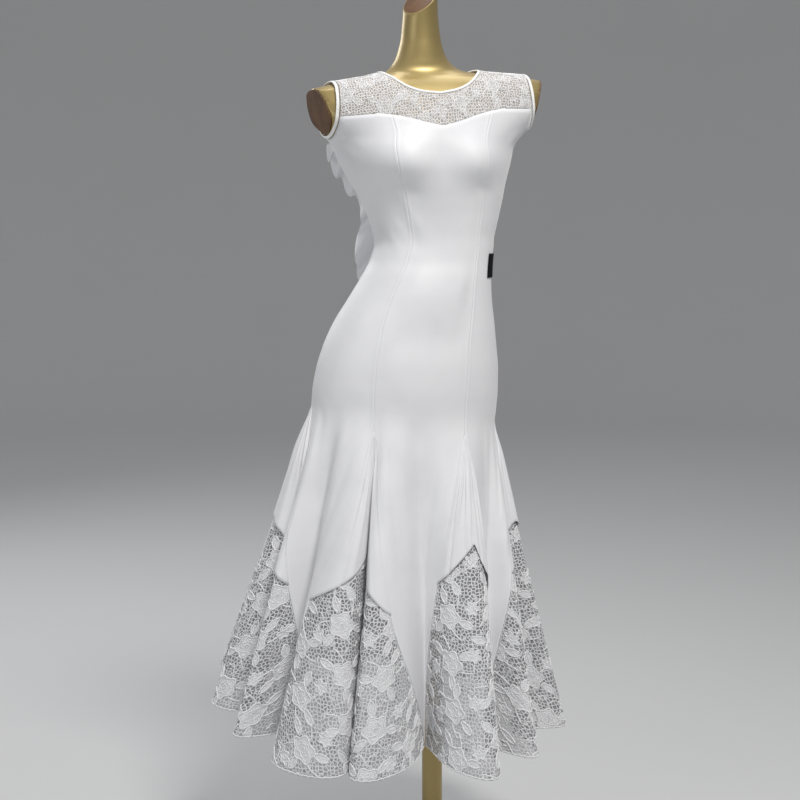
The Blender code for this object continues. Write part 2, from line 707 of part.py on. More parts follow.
def arm_edge(turns, side):
    """Points of the armhole's upper part at turns about the crosswise axis."""
    across = np.full(turns.shape, ARM_HOLE["across"]) * side
    for _ in range(8):
        point = saddle(across, turns)
        across = side * plane_across(ARM_HOLE, point[..., 1], point[..., 2], ARM_EDGE)
    return across


def yoke_half(neck_table, corner, centre, side):
    """Lower and upper edge of half a yoke, as (across, turn), from its centre to the shoulder."""
    seam = 1 if centre == 0 else 3
    level = float(top_edge(seam_angle(seam, 1.36)))
    middle = seam_angle(seam, level)
    angles = np.concatenate([np.linspace(centre, middle, CENTRE_STEPS[centre] + 1),
                             np.linspace(middle, corner, EDGE_STEPS + 1)[1:]])
    edge = body(side * angles, top_edge(side * angles) + GAP)
    across, turn = saddle_place(edge)
    ridge = 90 - SHOULDER_SEAM if centre == 0 else 90 + SHOULDER_SEAM
    turns = np.linspace(turn[-1], ridge, YOKE_ARM_STEPS + 1)[1:]
    low_across = np.concatenate([across, arm_edge(turns, side)])
    low_turn = np.concatenate([turn, turns])
    steps = np.linspace(0, 1, len(low_turn))
    places = column(neck_table, NECK_COLUMNS, "share")
    high_turn = smooth(places, column(neck_table, NECK_COLUMNS, "turn"), steps)
    high_across = side * smooth(places, column(neck_table, NECK_COLUMNS, "across"), steps)
    high_turn = np.where(steps == 1, ridge, high_turn)
    return np.stack([low_across, low_turn], -1), np.stack([high_across, high_turn], -1)


def make_yoke(name, neck_table, corner, centre):
    """A lace yoke from the jersey's edge up to the neckline, shoulder to shoulder."""
    low_left, high_left = yoke_half(neck_table, corner, centre, 1)
    low_right, high_right = yoke_half(neck_table, corner, centre, -1)
    low = np.concatenate([low_right[::-1], low_left[1:]])
    high = np.concatenate([high_right[::-1], high_left[1:]])
    inner = []
    outer = []
    for share in np.linspace(0, 1, YOKE_ROWS[name] + 1):
        place = high + (low - high) * share
        point = saddle(place[:, 0], place[:, 1])
        out = outward(point)
        inner.append(point + out * CLEAR)
        outer.append(point + out * (CLEAR + LACE))
    wall(name, np.array(inner), np.array(outer), "white_lace")


def neck_loop():
    """The neckline all round, as (across, turn), from the centre front over the left shoulder."""
    shares = np.linspace(0, 1, NECK_STEPS + 1)
    halves = []
    for table in (NECK_FRONT, NECK_BACK):
        across = smooth(column(table, NECK_COLUMNS, "share"), column(table, NECK_COLUMNS, "across"), shares)
        turn = smooth(column(table, NECK_COLUMNS, "share"), column(table, NECK_COLUMNS, "turn"), shares)
        halves.append((across, turn))
    (fa, ft), (ba, bt) = halves
    across = np.concatenate([fa, ba[-2::-1], -ba[1:], -fa[-2:0:-1]])
    turn = np.concatenate([ft, bt[-2::-1], bt[1:], ft[-2:0:-1]])
    return across, turn


def make_binding(name, base):
    """A flat ribbon along a closed edge, from its two edges on the dress form."""
    lift = outward(base)
    wall(name, base + lift * CLEAR, base + lift * (CLEAR + BINDING_WALL), "white_binding", closed=True)


def make_neck_binding():
    """The binding that stands up from the neckline against the neck."""
    across, turn = neck_loop()
    edge = saddle(across, turn)
    out = outward(edge)
    along = np.roll(edge, -1, axis=0) - np.roll(edge, 1, axis=0)
    inward = np.cross(out, along)
    inward /= np.linalg.norm(inward, axis=-1, keepdims=True)
    centre = edge.mean(axis=0)
    toward = np.sum(inward * (centre - edge), axis=-1, keepdims=True)
    inward *= np.sign(toward)
    make_binding("binding_neck", settle(np.array([edge + inward * GAP * 2, edge + inward * BINDING_WIDTH])))


def make_arm_binding(name, side):
    """The binding round an armhole, on the shoulder cap side of the cloth."""
    near = arm_loop(ARM_HOLE, side, GAP, ARM_SIDES)
    far = arm_loop(ARM_HOLE, side, GAP + BINDING_WIDTH, ARM_SIDES)
    make_binding(name, np.array([near, far]))


def make_flounce(name, side):
    """A waving flounce hung from the back edge of the jersey, longest at the centre back."""
    steps = np.linspace(0, 1, FLOUNCE_STEPS + 1)
    places = np.linspace(0, 1, len(FLOUNCE))
    angle = smooth(places, column(FLOUNCE, FLOUNCE_COLUMNS, "angle"), steps)
    root = body(side * angle, top_edge(angle) - FLOUNCE_SEAM)
    root = root + outward(root) * (CLEAR + JERSEY + LIFT)
    reach = np.stack([smooth(places, column(FLOUNCE, FLOUNCE_COLUMNS, axis), steps)
                      for axis in ("dx", "dy", "dz")], axis=-1) * np.array([side, 1, 1])
    along = np.gradient(root, axis=0)
    out = np.cross(along, reach)
    out /= np.linalg.norm(out, axis=-1, keepdims=True)
    wave = FLOUNCE_SWING * np.sin(2 * math.pi * FLOUNCE_WAVES * steps)
    rows = []
    for share in np.linspace(0, 1, FLOUNCE_ACROSS + 1):
        rows.append(root + reach * share + out * (wave * share**1.3)[:, None])
    middle = np.array(rows)
    lift = grid_normals(middle)
    wall(name, middle, middle + lift * LACE, "white_jersey")


def grid_normals(points):
    """Unit normals of a grid of points, from its own rows and columns."""
    down = np.gradient(points, axis=0)
    along = np.gradient(points, axis=1)
    cross = np.cross(down, along)
    return cross / np.linalg.norm(cross, axis=-1, keepdims=True)


def make_label():
    """The plain waist label, sewn into the left side seam."""
    angle, level = np.meshgrid(np.linspace(LABEL["from"], LABEL["to"], 7),
                               np.linspace(LABEL["high"], LABEL["low"], 4))
    point = body(angle, level)
    out = outward(point)
    start = CLEAR + JERSEY + 2 * GAP
    wall("label_waist", point + out * start, point + out * (start + LABEL_WALL), "black_label")


def trim_arms(points):
    """Points beyond the arm cuts, drawn back onto their planes."""
    centre = ring("cx", YOKE_AXIS["z"])
    across = points[..., 0] - centre
    limit = plane_across(ARM_CUT, points[..., 1], points[..., 2])
    beyond = (np.abs(across) > limit) & (points[..., 2] > 1.30)
    points[..., 0] = np.where(beyond, centre + np.sign(across) * limit, points[..., 0])
    return points


def make_form():
    """The smooth torso with its flat arm cuts and its slanted neck."""
    levels = column(FORM_RINGS, FORM_COLUMNS, "z")
    angles = np.arange(FORM_SIDES) * 360 / FORM_SIDES
    angle, level = np.meshgrid(angles, levels)
    points = body(angle, level)
    inset = np.where(level > levels[0], FORM_INSET, 0.0)[..., None]
    points = trim_arms(points - outward(points) * inset)
    top = levels[-1]
    away = points[..., 0] - NECK_CUT["x"] + points[..., 1] - NECK_CUT["y"]
    cut = NECK_CUT["low"] + NECK_CUT["slope"] * away
    share = np.clip((points[..., 2] - NECK_START) / (top - NECK_START), 0, None)
    points[..., 2] += np.where(share > 0, share * (cut - top), 0)
    rows, columns = angle.shape
    faces = []
    for i in range(rows - 1):
        for j in range(columns):
            n = (j + 1) % columns
            faces.append([i * columns + j, i * columns + n, (i + 1) * columns + n, (i + 1) * columns + j])
    faces.append(list(range(columns))[::-1])
    faces.append([(rows - 1) * columns + j for j in range(columns)])
    solid("form_torso", points.reshape(-1, 3), faces, "gold_paint")


def make_arm_plate(name, side):
    """The flat dark disc that closes an arm cut."""
    loop = arm_loop(ARM_CUT, side, GAP, PLATE_SIDES)
    centre = loop.mean(axis=0)
    edge = centre + (loop - centre) * ARM_PLATE["share"]
    span = edge[PLATE_SIDES // 4] - edge[0]
    across = edge[PLATE_SIDES // 2] - edge[0]
    out = np.cross(span, across)
    out *= math.copysign(1 / np.linalg.norm(out), out[0] * side)
    near = np.array([edge])
    far = near + out * ARM_PLATE["thick"]
    points = [*near[0], *far[0]]
    count = len(edge)
    faces = [list(range(count)), [k + count for k in range(count)][::-1]]
    faces += [[k, (k + 1) % count, (k + 1) % count + count, k + count] for k in range(count)]
    solid(name, points, faces, "cut_face")


def cylinder(name, radius, low, high, sides, finish):
    """An upright round piece on the pole's axis."""
    turn = np.arange(sides) * 2 * math.pi / sides
    ringed = np.stack([radius * np.cos(turn), radius * np.sin(turn)], axis=-1)
    points = [(x, y, z) for z in (low, high) for x, y in ringed]
    faces = [list(range(sides))[::-1], list(range(sides, 2 * sides))]
    faces += [[k, (k + 1) % sides, (k + 1) % sides + sides, k + sides] for k in range(sides)]
    return solid(name, points, faces, finish)


def make_stand():
    """Base plate, flange and pole under the form."""
    cylinder("stand_base", BASE_RADIUS, 0.0, BASE_THICK, 48, "base_metal")
    top = BASE_THICK + FLANGE["height"]
    cylinder("stand_flange", FLANGE["radius"], BASE_THICK + GAP, top, 28, "base_metal")
    cylinder("stand_pole", POLE_RADIUS, top + GAP, column(FORM_RINGS, FORM_COLUMNS, "z")[0] - GAP, 24,
             "gold_paint")


def main():
    for old in list(bpy.data.objects):
        bpy.data.objects.remove(old, do_unlink=True)
    make_form()
    for side, hand in ((1, "left"), (-1, "right")):
        make_arm_plate("form_arm_cut_" + hand, side)
        make_arm_binding("binding_armhole_" + hand, side)
        make_flounce("flounce_back_" + hand, side)
    make_stand()
    for name, left, right, columns in PANELS:
        make_panel(name, left, right, columns)
    for row in GODETS:
        make_godet(dict(zip(GODET_COLUMNS, row)))
    make_yoke("yoke_front", NECK_FRONT, 50.0, 0.0)
    make_yoke("yoke_back", NECK_BACK, 112.0, 180.0)
    make_neck_binding()
    make_label()


main()
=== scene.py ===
import math

import bmesh
import bpy
import numpy as np
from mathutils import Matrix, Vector


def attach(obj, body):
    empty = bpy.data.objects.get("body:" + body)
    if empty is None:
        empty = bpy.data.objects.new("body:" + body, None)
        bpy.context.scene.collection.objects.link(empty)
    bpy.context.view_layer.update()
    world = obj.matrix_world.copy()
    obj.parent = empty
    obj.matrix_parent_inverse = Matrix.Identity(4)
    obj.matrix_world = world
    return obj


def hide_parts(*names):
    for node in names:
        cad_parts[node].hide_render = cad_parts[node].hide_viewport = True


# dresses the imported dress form: white jersey panels, lace godets and yokes, flounces, gold paint and steel
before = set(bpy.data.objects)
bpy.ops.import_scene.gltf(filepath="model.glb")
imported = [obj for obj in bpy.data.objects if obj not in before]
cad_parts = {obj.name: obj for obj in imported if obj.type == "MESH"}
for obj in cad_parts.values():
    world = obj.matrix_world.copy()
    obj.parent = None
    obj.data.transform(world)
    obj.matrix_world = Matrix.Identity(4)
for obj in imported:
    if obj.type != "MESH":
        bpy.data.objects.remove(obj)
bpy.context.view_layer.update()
print("frame loaded, nodes:", len(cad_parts))


# ---- small helpers for tables, curves and meshes

def rows(table, *names):
    # the named columns of a table, as arrays
    return [np.array([row[table[0].index(name)] for row in table[1:]], dtype=float) for name in names]


def smooth(keys, values, at):
    # cubic through the rows whose slope is zero wherever the rows turn back, so it never overshoots
    step = np.diff(keys)
    slope = np.diff(values) / step
    both = slope[:-1] + slope[1:]
    same = slope[:-1] * slope[1:] > 0
    bend = np.where(same, 2 * slope[:-1] * slope[1:] / np.where(same, both, 1.0), 0.0)
    tangent = np.concatenate([slope[:1], bend, slope[-1:]])
    i = np.clip(np.searchsorted(keys, at, side="right") - 1, 0, len(keys) - 2)
    u = np.clip((at - keys[i]) / step[i], 0.0, 1.0)
    rise, start, end = values[i + 1] - values[i], step[i] * tangent[i], step[i] * tangent[i + 1]
    return values[i] + u * start + u**2 * (3 * rise - 2 * start - end) + u**3 * (start + end - 2 * rise)


def ease(low, high, value):
    # 0 below low, 1 above high, a smooth step between
    u = np.clip((np.asarray(value, dtype=float) - low) / (high - low), 0, 1)
    return u * u * (3 - 2 * u)


def unit(vectors):
    return vectors / np.maximum(np.linalg.norm(vectors, axis=-1, keepdims=True), 1e-12)


def gridNormals(points):
    # cross product of the steps down and along a grid of points
    return unit(np.cross(np.gradient(points, axis=0), np.gradient(points, axis=1)))


def runLength(points, axis=0):
    # metres along each line of points, counted from its first
    steps = np.linalg.norm(np.diff(points, axis=axis), axis=-1)
    start = np.zeros_like(np.take(steps, [0], axis=axis))
    return np.concatenate([start, np.cumsum(steps, axis=axis)], axis=axis)


def gridFaces(rowCount, columnCount, closed=False):
    i, j = np.meshgrid(np.arange(rowCount - 1), np.arange(columnCount if closed else columnCount - 1),
                       indexing="ij")
    n = (j + 1) % columnCount
    return np.stack([i * columnCount + j, (i + 1) * columnCount + j, (i + 1) * columnCount + n,
                     i * columnCount + n], axis=-1).reshape(-1, 4)


stance = {"rise": 0.062, "from": 1.22, "to": 1.38, "about": -0.09}


def leanShoulders(points):
    # the form's stance: its shoulders rise toward the wearer's left, evenly across
    points = np.array(points, dtype=float)
    share = ease(stance["from"], stance["to"], points[..., 2])
    points[..., 2] += stance["rise"] * share * (points[..., 0] - stance["about"])
    return points


def addObject(name, data):
    made = bpy.data.objects.new(name, data)
    bpy.context.collection.objects.link(made)
    return made


def makePiece(name, points, faces, finish, uv=None, flip=False, solid=0.0, lean=True):
    # one mesh object at the origin, with its uv in metres and, for cloth, the thickness of its wall
    points = np.asarray(points, dtype=float).reshape(-1, 3)
    if lean:
        points = leanShoulders(points)
    faces = np.asarray(faces)
    if flip:
        faces = faces[:, ::-1]
    mesh = bpy.data.meshes.new(name)
    mesh.vertices.add(len(points))
    mesh.vertices.foreach_set("co", points.astype(np.float32).ravel())
    mesh.loops.add(faces.size)
    mesh.loops.foreach_set("vertex_index", faces.astype(np.int32).ravel())
    mesh.polygons.add(len(faces))
    mesh.polygons.foreach_set("loop_start", np.arange(len(faces), dtype=np.int32) * faces.shape[1])
    mesh.update(calc_edges=True)
    if uv is not None:
        flat = np.asarray(uv, dtype=np.float32).reshape(-1, 2)
        loops = np.zeros(len(mesh.loops), dtype=np.int32)
        mesh.loops.foreach_get("vertex_index", loops)
        layer = mesh.uv_layers.new(name="cloth")
        layer.data.foreach_set("uv", flat[loops].ravel())
    mesh.shade_smooth()
    mesh.materials.append(finish)
    made = addObject(name, mesh)
    if solid:
        shell = made.modifiers.new("shell", "SOLIDIFY")
        shell.thickness = solid
        shell.offset = 1.0
        shell.use_even_offset = False
    return made


def placePiece(made, slot, *nodes):
    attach(made, "root")
    if nodes:
        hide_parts(*nodes)


def clothArea(points):
    # area of a grid of points, both triangles of every cell
    a, b, c, d = points[:-1, :-1], points[1:, :-1], points[1:, 1:], points[:-1, 1:]
    return float((np.linalg.norm(np.cross(b - a, c - a), axis=-1)
                  + np.linalg.norm(np.cross(c - a, d - a), axis=-1)).sum() / 2)


def clothUv(points):
    # metres along each row from its middle, and metres down each column
    middle = points.shape[1] // 2
    across = runLength(points, axis=1)
    return np.stack([across - across[:, middle:middle + 1], -runLength(points)], axis=-1)


def cutSheet(made, grid, restsOn):
    # the flat cut: the longest row by the longest column, and the area of the cloth itself
    grid = leanShoulders(grid)
    area = clothArea(grid)
    wide = float(runLength(grid, axis=1).max())
    long = float(runLength(grid).max())
    # no wider than a cut whose cloth still fills a little over a third of it
    wide = math.ceil(min(max(wide, area / long), area / long / 0.34) * 1000) / 1000
    long = math.ceil(long * 1000) / 1000
    area = round(min(area, wide * long), 5)
    print(made.name, "flat", wide, "x", long, "area", area)


# ---- the body that everything is laid on

torso = {
    # level, centre, half width, and depth to the front and to the back
    "rings": (
        ("z", "cx", "cy", "half", "front", "back"),
        (0.790, -0.040, 0.010, 0.085, 0.060, 0.066), (0.798, -0.043, 0.010, 0.118, 0.082, 0.090),
        (0.820, -0.045, 0.008, 0.145, 0.097, 0.108), (0.850, -0.046, 0.006, 0.157, 0.104, 0.116),
        (0.885, -0.046, 0.004, 0.160, 0.106, 0.119), (0.925, -0.043, 0.002, 0.157, 0.104, 0.118),
        (0.965, -0.039, 0.000, 0.149, 0.100, 0.112), (1.005, -0.032, -0.001, 0.138, 0.095, 0.100),
        (1.045, -0.022, -0.002, 0.123, 0.089, 0.087), (1.085, -0.010, -0.002, 0.110, 0.083, 0.077),
        (1.115, -0.001, -0.001, 0.103, 0.078, 0.072), (1.145, 0.004, 0.000, 0.101, 0.077, 0.072),
        (1.180, 0.003, 0.000, 0.109, 0.080, 0.078), (1.215, 0.000, 0.001, 0.120, 0.087, 0.086),
        (1.245, -0.006, 0.002, 0.132, 0.094, 0.092), (1.275, -0.010, 0.003, 0.145, 0.099, 0.097),
        (1.300, -0.012, 0.004, 0.154, 0.100, 0.100), (1.320, -0.008, 0.005, 0.168, 0.098, 0.101),
        (1.336, -0.006, 0.006, 0.191, 0.094, 0.098), (1.356, -0.005, 0.007, 0.224, 0.088, 0.093),
        (1.380, -0.005, 0.008, 0.236, 0.078, 0.082), (1.398, -0.006, 0.010, 0.226, 0.068, 0.070),
        (1.410, -0.009, 0.011, 0.180, 0.058, 0.061), (1.418, -0.013, 0.012, 0.114, 0.050, 0.053),
        (1.427, -0.015, 0.012, 0.070, 0.044, 0.047), (1.441, -0.017, 0.010, 0.051, 0.040, 0.042),
        (1.460, -0.018, 0.008, 0.041, 0.037, 0.038), (1.485, -0.019, 0.006, 0.035, 0.034, 0.035),
        (1.515, -0.020, 0.004, 0.032, 0.032, 0.032), (1.548, -0.020, 0.002, 0.0305, 0.031, 0.031)),
    "bust": {"out": 0.024, "across": 0.069, "z": 1.275, "wide": 0.046, "tall": 0.036},
    "axisY": 0.006, "axisZ": 1.335,   # a crosswise axis through the chest
    "clear": 0.0024,                  # from the measured body out to the cloth
    "inset": 0.0018,                  # from the measured body in to the form's paint
}
nudge = 0.0005       # step for slopes
halvings = 34        # steps of a search by halving
bodyKeys = rows(torso["rings"], "z", "cx", "cy", "half", "front", "back")
bodyColumns = dict(zip(torso["rings"][0], bodyKeys))


def ring(name, z):
    return smooth(bodyColumns["z"], bodyColumns[name], z)


def depthAt(x, z, front):
    # half an ellipse deep to the front or back, with a round swelling at each cup
    bust = torso["bust"]
    across = np.abs(x - ring("cx", z))
    off = ((across - bust["across"]) / bust["wide"])**2 + ((z - bust["z"]) / bust["tall"])**2
    swell = 1 + np.where(front, bust["out"] / 0.1 * np.exp(-off), 0)
    return np.where(front, ring("front", z), ring("back", z)) * swell


def body(angle, z):
    # an ellipse at each level, its depth different to front and back
    turn = np.radians(angle)
    x = ring("cx", z) + ring("half", z) * np.sin(turn)
    y = ring("cy", z) - depthAt(x, z, np.cos(turn) > 0) * np.cos(turn)
    return np.stack([x, y, np.broadcast_to(z, x.shape)], axis=-1)


def inside(x, y, z):
    # below 1 inside the body, 1 on it
    depth = depthAt(x, z, y < ring("cy", z))
    return ((x - ring("cx", z)) / ring("half", z))**2 + ((y - ring("cy", z)) / depth)**2


def outward(p):
    # gradient of inside()
    s = nudge
    x, y, z = p[..., 0], p[..., 1], p[..., 2]
    return unit(np.stack([inside(x + s, y, z) - inside(x - s, y, z),
                          inside(x, y + s, z) - inside(x, y - s, z),
                          inside(x, y, z + s) - inside(x, y, z - s)], axis=-1))


def settle(points):
    # points drawn back onto the body along its normals
    for _ in range(3):
        out = outward(points)
        value = inside(points[..., 0], points[..., 1], points[..., 2]) - 1
        ahead = points + out * nudge
        slope = (inside(ahead[..., 0], ahead[..., 1], ahead[..., 2]) - 1 - value) / nudge
        points = points - out * (value / slope)[..., None]
    return points


def saddle(across, turn):
    # the body met by a ray from a crosswise axis, turned up from the front
    x = across + ring("cx", torso["axisZ"])
    dy, dz = -np.cos(np.radians(turn)), np.sin(np.radians(turn))
    near, far = np.zeros_like(x), np.full_like(x, 0.22)
    for _ in range(halvings):
        middle = (near + far) / 2
        within = inside(x, torso["axisY"] + middle * dy, torso["axisZ"] + middle * dz) < 1
        near, far = np.where(within, middle, near), np.where(within, far, middle)
    return np.stack([x, torso["axisY"] + near * dy, torso["axisZ"] + near * dz], axis=-1)


armholes = {
    "cut": {"across": 0.190, "z": 1.372, "lean": 16, "turn": 8},
    "hole": {"across": 0.168, "z": 1.372, "lean": -4, "turn": 3},
    "centreY": 0.008, "centreZ": 1.366, "clothEdge": -0.0009,
}


def planeAcross(plane, y, z, shift=0.0):
    # a leaning, turned plane across the arm, as its distance from the body's centre
    return (plane["across"] + shift + (z - plane["z"]) * math.tan(math.radians(plane["lean"]))
            + (y - torso["axisY"]) * math.tan(math.radians(plane["turn"])))


def armLoop(plane, side, shift, count):
    # where that plane meets the body, found along rays from the arm's middle
    spin = np.linspace(0, 2 * math.pi, count, endpoint=False)
    near, far = np.zeros(count), np.full(count, 0.08)
    for _ in range(halvings):
        reach = (near + far) / 2
        y = armholes["centreY"] - reach * np.cos(spin)
        z = armholes["centreZ"] + reach * np.sin(spin)
        x = ring("cx", torso["axisZ"]) + side * planeAcross(plane, y, z, shift)
        within = inside(x, y, z) < 1
        near, far = np.where(within, reach, near), np.where(within, far, reach)
    return np.stack([x, y, z], axis=-1)


# ---- the jersey's edges and seams

edges = {
    "sweetheart": (("angle", "z"), (0, 1.330), (8, 1.336), (20, 1.349), (32, 1.356), (42, 1.357),
                   (50, 1.354)),
    "backV": (("angle", "z"), (112, 1.326), (120, 1.314), (132, 1.293), (148, 1.256), (164, 1.218),
              (180, 1.196)),
    "seams": (("z", "princessFront", "side", "princessBack"), (0.80, 29.0, 90, 153),
              (0.86, 29.5, 90, 153), (0.96, 31.0, 90, 153), (1.06, 35.0, 90, 152),
              (1.15, 34.0, 90, 152), (1.22, 32.5, 90, 152), (1.28, 31.0, 90, 150),
              (1.325, 26.5, 90, 150), (1.36, 21.5, 90, 150)),
    # the lower of sweetheart and armhole counts from "both", the armhole alone from "side" to "back"
    "both": 30, "side": 50, "back": 112, "highest": 1.354,
}


def armFoot(angle):
    # level at which the armhole's lower edge crosses an angle, by halving
    low, high = np.full(np.shape(angle), 1.290), np.full(np.shape(angle), 1.372)
    for _ in range(halvings):
        z = (low + high) / 2
        point = body(angle, z)
        across = np.abs(point[..., 0] - ring("cx", torso["axisZ"]))
        short = across < planeAcross(armholes["hole"], point[..., 1], z, armholes["clothEdge"])
        low, high = np.where(short, z, low), np.where(short, high, z)
    return low


def topEdge(angle):
    # the sweetheart in front, the armhole's foot at the side, the V behind
    signed = (np.asarray(angle, dtype=float) + 180) % 360 - 180
    turn = np.abs(signed)
    sweet = smooth(*rows(edges["sweetheart"], "angle", "z"), turn)
    back = smooth(*rows(edges["backV"], "angle", "z"), turn)
    foot = np.minimum(armFoot(signed), edges["highest"])
    front = np.minimum(sweet, np.where(turn > edges["both"], foot, sweet))
    return np.where(turn > edges["back"], back, np.where(turn > edges["side"], foot, front))


def seamNumber(seam):
    # seams 1, 2, 3 on the wearer's left; 4, 5, 6 mirror them; -1 is 6 again
    return seam if seam > 0 else 7 + seam


def seamAngle(seam, z):
    names = ("princessFront", "side", "princessBack")
    number = seamNumber(seam)
    turn = smooth(*rows(edges["seams"], "z", names[number - 1 if number < 4 else 6 - number]), z)
    signed = turn if number < 4 else 360 - turn
    return signed - 360 if seam < 0 else signed


# ---- the skirt: straight fall lines from a tilted hip line to a waving hem

skirt = {
    "hip": 0.852, "tilt": -0.10, "taper": 0.72,
    # where each ridge or valley starts on the hip, its foot, and how broadly the hem runs there
    "folds": (
        ("angle", "x", "y", "z", "spread"),
        (-13, -0.120, -0.246, 0.300, 1.6), (1, -0.058, -0.160, 0.306, 0.5),
        (17, -0.040, -0.262, 0.300, 1.0), (34, 0.022, -0.306, 0.296, 1.6),
        (54, 0.040, -0.185, 0.302, 0.5), (70, 0.112, -0.240, 0.298, 1.6),
        (82, 0.118, -0.112, 0.300, 0.5), (94, 0.214, -0.108, 0.300, 1.6),
        (105, 0.150, -0.012, 0.302, 0.5), (116, 0.238, 0.060, 0.300, 1.6),
        (126, 0.150, 0.105, 0.304, 0.5), (138, 0.196, 0.205, 0.302, 1.6),
        (149, 0.098, 0.188, 0.304, 0.5), (158, 0.100, 0.312, 0.304, 1.6),
        (166, 0.024, 0.232, 0.306, 0.5), (173, -0.018, 0.352, 0.308, 1.6),
        (180, -0.080, 0.245, 0.312, 0.5), (191, -0.150, 0.350, 0.318, 1.6),
        (206, -0.188, 0.232, 0.324, 0.5), (221, -0.262, 0.305, 0.336, 1.6),
        (236, -0.262, 0.190, 0.346, 0.5), (246, -0.352, 0.198, 0.358, 1.6),
        (256, -0.300, 0.090, 0.358, 0.5), (267, -0.390, 0.010, 0.358, 1.6),
        (276, -0.318, -0.048, 0.346, 0.5), (288, -0.368, -0.104, 0.334, 1.6),
        (302, -0.262, -0.078, 0.322, 0.5), (315, -0.316, -0.160, 0.304, 1.0),
        (324, -0.238, -0.246, 0.301, 1.6), (332, -0.180, -0.176, 0.304, 0.5),
        (339, -0.204, -0.262, 0.300, 1.6)),
    # the seam each godet opens, its first and last fold at the foot, and where down the skirt it opens;
    # then its overlay's tips and the highest place between, where that is, and how far it lies off the lace
    "godetColumns": ("seam", "first", "last", "opens", "firstTip", "peak", "lastTip", "peakAt", "off"),
    "godets": {
        "front_left": (1, 1, 4, 0.045, 0.49, 0.36, 0.52, 0.62, 0.0048),
        "side_left": (2, 4, 10, 0.0, 0.47, 0.34, 0.46, 0.50, 0.0048),
        "back_left": (3, 10, 16, 0.045, 0.48, 0.34, 0.50, 0.50, 0.0050),
        "back_right": (4, 16, 20, 0.045, 0.50, 0.34, 0.48, 0.50, 0.0048),
        "side_right": (5, 20, 26, 0.0, 0.46, 0.37, 0.54, 0.40, 0.0048),
        "front_right": (-1, 26, 32, 0.045, 0.54, 0.39, 0.56, 0.50, 0.0028),
    },
    # the two panels that each godet is sewn to
    "beside": {
        "front_left": ("panel_centre_front", "panel_side_front_left"),
        "side_left": ("panel_side_front_left", "panel_side_back_left"),
        "back_left": ("panel_side_back_left", "panel_centre_back"),
        "back_right": ("panel_centre_back", "panel_side_back_right"),
        "side_right": ("panel_side_back_right", "panel_side_front_right"),
        "front_right": ("panel_side_front_right", "panel_centre_front"),
    },
    # how far the first and the last edge of a seam's godet bow below the knee
    "bows": {1: (0.20, 0.05), 2: (0.15, 0.0), 5: (0.0, 0.20), 6: (0.0, -0.10)},
}
foldAngle, foldX, foldY, foldZ, foldSpread = rows(skirt["folds"], "angle", "x", "y", "z", "spread")
foldCount = len(foldAngle)
foldIndex = np.arange(-foldCount, 2 * foldCount)
foldTurns = np.concatenate([foldAngle - 360, foldAngle, foldAngle + 360])
godets = {name: dict(zip(skirt["godetColumns"], row)) for name, row in skirt["godets"].items()}
godetAt = {seamNumber(godet["seam"]): godet for godet in godets.values()}


def hem(w):
    # a closed cubic through the folds' feet, each with its own spread
    feet = np.stack([foldX, foldY, foldZ], axis=-1)
    i = np.floor(w).astype(int)
    u = (w - i)[..., None]
    before, start, end, after = (feet[(i + k) % foldCount] for k in (-1, 0, 1, 2))
    rise = (end - before) / 2 * foldSpread[i % foldCount][..., None]
    run = (after - start) / 2 * foldSpread[(i + 1) % foldCount][..., None]
    span = end - start
    return start + u * rise + u**2 * (3 * span - 2 * rise - run) + u**3 * (rise + run - 2 * span)


def hipAngle(w):
    # where fold number w starts round the hip, in degrees
    return smooth(foldIndex, foldTurns, w)


def hipPoint(angle):
    # the tilted hip line: its level falls evenly across the body
    z = np.full(np.shape(angle), skirt["hip"])
    for _ in range(3):
        z = skirt["hip"] + skirt["tilt"] * (body(angle, z)[..., 0] - ring("cx", skirt["hip"]))
    point = body(angle, z)
    return point + torso["clear"] * outward(point)


def fall(w, t):
    # on fold line w, from 0 at the hip to 1 at the hem
    top = hipPoint(hipAngle(w))
    return top + (hem(w) - top) * np.asarray(t)[..., None]


def foldAt(angle):
    # the fold number at an angle round the hip, read off a fine table
    w = np.linspace(-foldCount, 2 * foldCount - 1, 6001)
    return float(np.interp(angle, hipAngle(w), w))


def godetEdges(seam, t):
    # fold numbers of a godet's two edges at t, widening as a power of t from where it opens
    godet = godetAt[seamNumber(seam)]
    top = foldAt(float(seamAngle(seam, skirt["hip"])))
    shift = round((top - (godet["first"] + godet["last"]) / 2) / foldCount) * foldCount
    opened = np.clip((np.asarray(t, dtype=float) - godet["opens"]) / (1 - godet["opens"]), 0, 1)
    grown, bow = opened**skirt["taper"], 4 * opened**2 * (1 - opened)
    bows = skirt["bows"].get(seamNumber(seam), (0.0, 0.0))
    return [top + (godet[edge] + shift - top) * (grown + out * bow)
            for edge, out in zip(("first", "last"), bows)]


# ---- procedural finishes

class Value:
    # a number in a node tree; each sum with it adds a Math node
    def __init__(self, nodes, socket):
        self.nodes = nodes
        self.socket = socket

    def __add__(self, other):
        return self.nodes.sum("ADD", self, other)

    def __sub__(self, other):
        return self.nodes.sum("SUBTRACT", self, other)

    def __rsub__(self, other):
        return self.nodes.sum("SUBTRACT", other, self)

    def __mul__(self, other):
        return self.nodes.sum("MULTIPLY", self, other)

    def __truediv__(self, other):
        return self.nodes.sum("DIVIDE", self, other)

    def __mod__(self, other):
        return self.nodes.sum("FLOORED_MODULO", self, other)

    def higher(self, other):
        return self.nodes.sum("MAXIMUM", self, other)

    def lower(self, other):
        return self.nodes.sum("MINIMUM", self, other)

    def size(self):
        return self.nodes.sum("ABSOLUTE", self)

    def floor(self):
        return self.nodes.sum("FLOOR", self)

    def root(self):
        return self.nodes.sum("SQRT", self)

    def sine(self):
        return self.nodes.sum("SINE", self)

    def cosine(self):
        return self.nodes.sum("COSINE", self)


